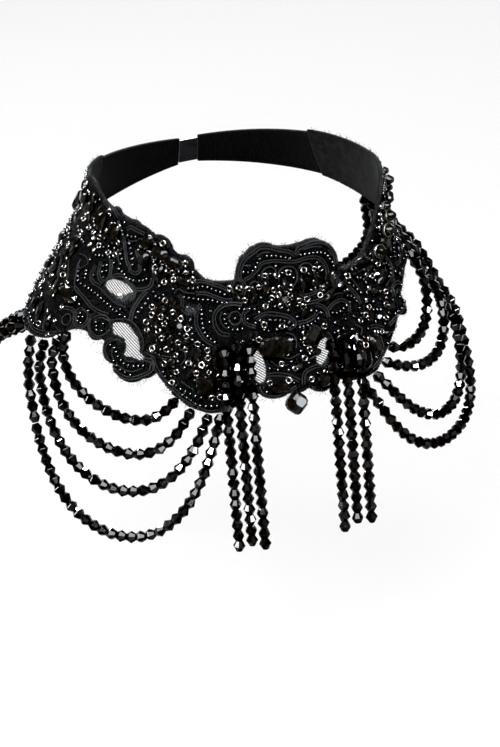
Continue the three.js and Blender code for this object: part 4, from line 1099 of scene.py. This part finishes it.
def add_seeds():
    """Seed beads in rows, and loose ones where the lace is still bare."""
    covered = taken_places()
    taken, radii = covered[:, :2] * FLAT, covered[:, 2]
    rows, headings = [], []
    for places in SEED_ROWS:
        flat = spline(places, step=1.78)
        along = np.gradient(flat, axis=0)
        rows.append(flat)
        headings.append(np.degrees(np.arctan2(along[:, 1], along[:, 0])))
    rows, headings = np.concatenate(rows), np.concatenate(headings)
    off_stones, off_cords, off_edge = 0.75, 1.15, 1.3  # what loose ones keep clear of, in mm
    clear = apart_from(rows, taken, radii) > 0.55
    rows, headings = rows[clear], headings[clear]
    order = spread(rows, gap=1.35)
    rows, headings = rows[order], headings[order]
    lines = []
    for offsets, places in CORDS:
        flat = spline(places, step=0.8)
        lines += [sideways(flat, offset) for offset in offsets]
    more = rng.uniform((-128, -37), (128, 48), (26000, 2)) * FLAT
    # there are none at 82 to 104 degrees on the wearer's right
    sparse = np.abs(more[:, 0] / FLAT[0] + 93) <= 11
    more = more[(lace_field(*(more / FLAT).T) > off_edge) & ~sparse]
    more = more[apart_from(more, taken, radii) > off_stones]
    more = more[apart_from(more, np.concatenate(lines)) > off_cords]
    more = more[spread(more, gap=3.1, kept=rows)]
    flat = np.concatenate([rows, more])
    headings = np.concatenate([headings, rng.uniform(0, 180, len(more))])
    a, h = (flat / FLAT).T
    on = lace_field(a, h) > 0.4
    a, h, headings = a[on], h[on], headings[on]
    size = rng.uniform(0.86, 1.0, (len(a), 1)) * np.ones(3)
    beads = repeated(seed_bead(), front(a, h, lift=0.48), frames_at(a, h, headings), size)
    piece("seed_beads", beads, JET_SEED, flat=False)


def pushed_apart(flat, gap):
    """The places moved just far enough that none is nearer another than the gap."""
    flat, rounds, share = flat.copy(), 40, 0.6
    for _ in range(rounds):
        away = flat[:, None] - flat[None]
        apart = np.hypot(away[..., 0], away[..., 1]) + np.eye(len(flat)) * 99  # not from itself
        short = np.maximum(gap - apart, 0) * 0.5
        flat += (away / np.maximum(apart, 0.01)[..., None] * short[..., None]).sum(1) * share
    return flat


def add_rings():
    off_stones, off_edge = 1.1, 0.9
    a, h = (pushed_apart(np.array(RINGS, float) * FLAT, gap=3.0) / FLAT).T
    large = [(s[1], s[2], max(s[3:5]) / 2) for s in STONES.values() if s[0] == "round"]
    large = np.array(large + [(s[0], s[1], s[2] / 2) for s in SET_STONES])
    apart = apart_from(np.stack([a, h], 1) * FLAT, large[:, :2] * FLAT, large[:, 2])
    on = (lace_field(a, h) > off_edge) & (apart > off_stones)
    a, h = a[on], h[on]
    tilt = rng.normal(0, 20, (2, len(a)))
    frames = frames_at(a, h, rng.uniform(0, 360, len(a)), tilt[0], tilt[1])
    size = rng.uniform(0.9, 1.08, (len(a), 1)) * np.ones(3)
    rings = repeated(ring_bead(), front(a, h, lift=0.4), frames, size)
    piece("ring_beads", rings, GUNMETAL, flat=False)
    # each one is held by a dark knot of thread in its middle
    knots = repeated(seed_bead(), front(a, h, lift=-0.1), frames, size * 0.45)
    piece("ring_stitches", knots, BACKING, flat=False)


def add_small_stones():
    parts = []
    for shape, rows in SMALL_STONES.items():
        rows = np.array([(*row, 0, 0)[:7] for row in rows], float)
        a, h, long, wide, heading, tilt_up, tilt_east = rows.T
        tilt = rng.normal(0, 4, (2, len(a)))
        east, up, _ = basis_at(a, h)
        frames = frames_at(a, h, heading, tilt[0], tilt[1])
        # a wanted tilt turns the table about the wall's own directions
        push = east * np.radians(tilt_up)[:, None] - up * np.radians(tilt_east)[:, None]
        frames = frame_of(unit(frames[:, 2] + push), frames[:, 0])
        size = np.stack([long / 2, wide / 2, np.minimum(long, wide) * 0.5 + 0.5], 1)
        parts.append(repeated(cut_stone(shape), front(a, h, lift=-0.1), frames, size))
    piece("small_stones", join(parts), JET_STONE)


def add_set_stones():
    """Round stones in their cups, turned forwards from the wall."""
    a, h, wide, tall = np.array(SET_STONES).T
    z = unit(basis_at(a, h)[2] + np.array([-0.15, -0.5, 0.1]))
    x = unit(np.cross([0, 0, 1.0], z))
    frames = np.stack([x, np.cross(z, x), z], 1)
    place = front(a, h, lift=0.9)
    stones = repeated(cut_stone("round"), place, frames, np.stack([wide / 2, wide / 2, tall], 1))
    piece("set_stones", stones, JET_STONE)
    cup = [(-0.75, 0.5), (-0.1, 0.9), (0.4, 1.12), (0.56, 1.16), (0.62, 1.08), (0.4, 0.98),
           (0.0, 0.8)]
    points, faces = lathe(cup, sides=14)
    cup = [(y, z, x) for x, y, z in points], faces
    cups = repeated(cup, place, frames, wide[:, None] / 2 * np.ones(3))
    piece("stone_settings", cups, SETTING)


# ---- net in the openings, and loose fibres at the edges ----
def add_net():
    """Two sets of crossing threads in every opening, each running on under its edge."""
    reach, parts = 1.2, []
    threads = (-36, 0.88, 0.9, 0.21), (47, 1.1, 0.95, 0.07)  # slant, spacing, lift, radius
    holes = [(hole, functools.partial(inside_ellipse, hole), 0.9) for hole in EYELETS.values()]
    holes += [((-67, 8.4, 8, 8, 0), functools.partial(inside_outline, UPPER_WINDOW), 0.9),
              ((-60, -9.8, 9, 9, 0), functools.partial(inside_outline, ELBOW_WINDOW), 2.6)]
    for (a0, h0, half_long, half_high, _), inside, under in holes:
        per_degree = math.radians(1) * float(wall_radius(a0, h0))
        size = max(half_long, half_high) + reach
        for slant, gap, lift, radius in threads:
            c, s = math.cos(math.radians(slant)), math.sin(math.radians(slant))
            for across in np.arange(-size, size, gap):
                t = np.arange(-size, size, 0.55)
                wave = 0.05 * np.sin(t * 3.4 + across * 2.0)
                x, y = t * c - (across + wave) * s, t * s + (across + wave) * c
                a, h = a0 + x / per_degree, h0 + y
                for run in runs_of(inside(a, h) > -under, 3):
                    parts.append(tube(on_wall(a[run], h[run], lift), radius, 3))
    piece("net_ground", join(parts)[:2], NET, flat=False)


def rise_of(places, step):
    """How much the lace's field rises over a step in mm to the east and one up."""
    f = lace_field(*places.T)
    return np.stack([lace_field(places[:, 0] + step / FLAT[0], places[:, 1]) - f,
                     lace_field(places[:, 0], places[:, 1] + step) - f], 1)


def add_edge_stitches():
    """Overcast stitches side by side round every edge of the lace."""
    share = np.repeat([0.25, 0.75], len(lace_edge))[:, None]
    ends = np.tile(lace_edge, (2, 1, 1))
    at = ends[:, 0] * (1 - share) + ends[:, 1] * share
    at = at[np.abs(at[:, 0]) < LACE_END - 1]
    inward = rise_of(at, 0.15)
    inward /= np.maximum(np.hypot(*inward.T), 1e-6)[:, None]
    deep = rng.uniform(0.7, 1.7, len(at))
    skew = rng.normal(0, 0.25, len(at))
    # each one comes from under the edge, goes over it and ends in the cloth
    t, lift = np.array([[-0.12], [0.12], [0.55], [1.0]]), np.array([-1.2, 0.06, 0.12, -0.05])
    parts = []
    for place, line, far, lean in zip(at, inward, deep, skew):
        flat = place * FLAT + (line + lean * np.array([-line[1], line[0]])) * t * far
        a, h = (flat / FLAT).T
        parts.append(tube(front(a, h, lift), radius=0.12, sides=4))
    piece("edge_stitches", join(parts), STITCH, flat=False)


def add_fibres():
    """Fine loose fibres round the lace's edge, rooted within half a mm of it."""
    longest, step = 2.2, 0.1
    places = rng.uniform((-128, -38), (128, 50), (90000, 2))
    f = lace_field(*places.T)
    places = places[(f > 0) & (f < 0.5)]
    slope = rise_of(places, step) / step
    size = np.hypot(*slope.T)
    places, slope, size = places[size > 0.2], slope[size > 0.2], size[size > 0.2]
    away = -slope / size[:, None]
    side = np.stack([-away[:, 1], away[:, 0]], 1)
    count = len(places)
    lean, curl = rng.normal(0, 0.7, (count, 1)), rng.normal(0, 0.35, (count, 1))
    length, rise = rng.uniform(0.3, 1.0, count) ** 1.5 * longest, rng.uniform(0.3, 1.0, count)
    stray, parts = rng.normal(0, 0.25, count), []
    t = np.linspace(0, 1, 4)[:, None]
    for n in range(count):
        path = t * (away[n] + side[n] * lean[n]) + side[n] * curl[n] * t * t
        a = places[n, 0] + path[:, 0] * length[n] / FLAT[0]
        h = places[n, 1] + path[:, 1] * length[n]
        line = on_wall(a, h, WALL * rise[n] + stray[n] * t[:, 0])
        parts.append(tube(line, radius=0.05, sides=3))
    piece("edge_fibres", join(parts)[:2], NET, flat=False)


add_cords()
add_seeds()
add_rings()
add_small_stones()
add_set_stones()
add_net()
add_edge_stitches()
add_fibres()


# ---- stage: floor, light, camera ----
def point_at(obj, target):
    obj.rotation_mode = "QUATERNION"
    obj.rotation_quaternion = (Vector(target) - obj.location).to_track_quat("-Z", "Y")


def add_light(name, place, target, size, power):
    """A soft box for the matt cloth, or with a name in glint_ a lamp that only glass mirrors."""
    glints = name.startswith("glint_")
    data = bpy.data.lights.new(name, "AREA")
    data.shape, data.size, data.energy = "DISK", size, power
    data.color = (0.9, 0.95, 1.0) if glints else (1, 1, 1)
    light = bpy.data.objects.new(name, data)
    light.location = place
    bpy.context.scene.collection.objects.link(light)
    point_at(light, target)
    light.visible_camera = False
    light.visible_diffuse = not glints
    light.visible_glossy = glints


LIGHTS = [  # name, place, size, power
    ("key", (-0.55, -0.75, 0.8), 0.7, 9), ("fill", (0.9, -0.6, 0.45), 0.5, 2.5),
    ("top", (0.1, -0.1, 1.0), 0.6, 4), ("back", (0.0, 0.9, 0.6), 0.7, 3),
    ("glint_soft", (-0.3, -0.75, 0.95), 1.0, 18), ("glint_key", (-0.35, -0.7, 0.95), 0.3, 58),
    ("glint_right", (0.62, -0.88, 0.25), 0.22, 5), ("glint_left", (-1.0, -0.2, 0.35), 0.3, 5),
    ("glint_back", (0.1, 0.9, 0.6), 0.4, 20)]


def add_floor():
    """A pale floor that sweeps up into a plain wall all round."""
    foot, reach, sweep, tall = -0.16, 5.0, 2.5, 5.0
    turn = np.linspace(0, math.pi / 2, 9)
    profile = [(foot, 0), (foot, reach)]
    profile += [(foot + sweep * (1 - math.cos(t)), reach + sweep * math.sin(t)) for t in turn[1:]]
    points, faces = lathe([*profile, (tall, reach + sweep)], sides=64)
    material, tree, shader = nodes_of("pale_floor")
    fill(tree, shader, {
        "Base Color": (0.35, 0.35, 0.35, 1), "Roughness": 1.0, "Specular IOR Level": 0.0,
        "Emission Color": (1, 1, 1, 1), "Emission Strength": 0.66})
    floor = mesh_object("floor", np.roll(points, -1, 1), faces, material, flat=False)
    floor.visible_glossy = False  # black glass would mirror it


def add_room():
    """The room that the facets mirror: dark, with soft pale patches and a pale wall behind."""
    world = bpy.data.worlds.new("studio")
    bpy.context.scene.world = world
    world.use_nodes = True
    tree = world.node_tree
    background = next(n for n in tree.nodes if n.type == "BACKGROUND")
    around = add(tree, "TexCoord", {}).outputs["Generated"]
    patches = ramp(tree, noise(tree, around, 2.6, 1.0), 0.02, 0.6, 0.52, 0.75)
    behind = add(tree, "VectorMath", {0: around, 1: (0.28, 0.90, -0.33)}, operation="DOT_PRODUCT")
    wall = ramp(tree, behind.outputs["Value"], 0.0, 0.9, 0.72, 0.9)
    room = add(tree, "MixRGB", {"Fac": 1.0, "Color1": patches, "Color2": wall}, blend_type="ADD")
    fill(tree, background, {"Color": room.outputs["Color"], "Strength": 1.0})


def add_lights():
    target = (0, -0.03, -0.02)
    for name, place, size, power in LIGHTS:
        add_light(name, place, target, size, power)
    # small lamps that a facet of two stones mirrors towards a viewer at the throat
    viewer = np.array([-0.300, -0.982, 0.394])
    for name, (place, facing) in FACING.items():
        towards = viewer - place * MM
        towards /= np.linalg.norm(towards)
        mirrored = 2 * (facing @ towards) * facing - towards
        add_light("glint_" + name, tuple(place * MM + mirrored), tuple(place * MM), 0.14, 0.5)


def set_blacks():
    """A black level a little above zero, for deep blacks in the shadows."""
    view = bpy.context.scene.view_settings
    view.view_transform = "Standard"
    view.use_curve_mapping = True
    view.curve_mapping.black_level = (0.0045, 0.0045, 0.0045)
    view.curve_mapping.update()


def add_camera():
    """Looks down at the throat from the wearer's right, and aims a little below the choker."""
    azimuth, elevation, roll, distance = (math.radians(-17), math.radians(21), math.radians(5), 1.1)
    flat = math.cos(elevation)
    back = Vector((math.sin(azimuth) * flat, -math.cos(azimuth) * flat, math.sin(elevation)))
    right = Vector((math.cos(azimuth), math.sin(azimuth), 0))
    up = back.cross(right)
    right, up = (right * math.cos(roll) - up * math.sin(roll),
                 right * math.sin(roll) + up * math.cos(roll))
    data = bpy.data.cameras.new("camera")
    camera = bpy.data.objects.new("camera", data)
    bpy.context.scene.collection.objects.link(camera)
    # how far from the origin it aims, and how much it takes in there from top to bottom, in m
    aside, below, tall, sensor = 0.003735, 0.0462725, 0.310005, 36
    middle = right * aside - up * below
    camera.location = back * distance
    data.lens = sensor * distance / tall
    data.sensor_width = sensor
    back = (camera.location - middle).normalized()
    right = (right - back * right.dot(back)).normalized()
    up = back.cross(right)
    camera.rotation_mode = "QUATERNION"
    camera.rotation_quaternion = Matrix((right, up, back)).transposed().to_quaternion()
    data.clip_start, data.clip_end = 0.01, 50
    bpy.context.scene.camera = camera


add_floor()
add_room()
add_lights()
set_blacks()
add_camera()
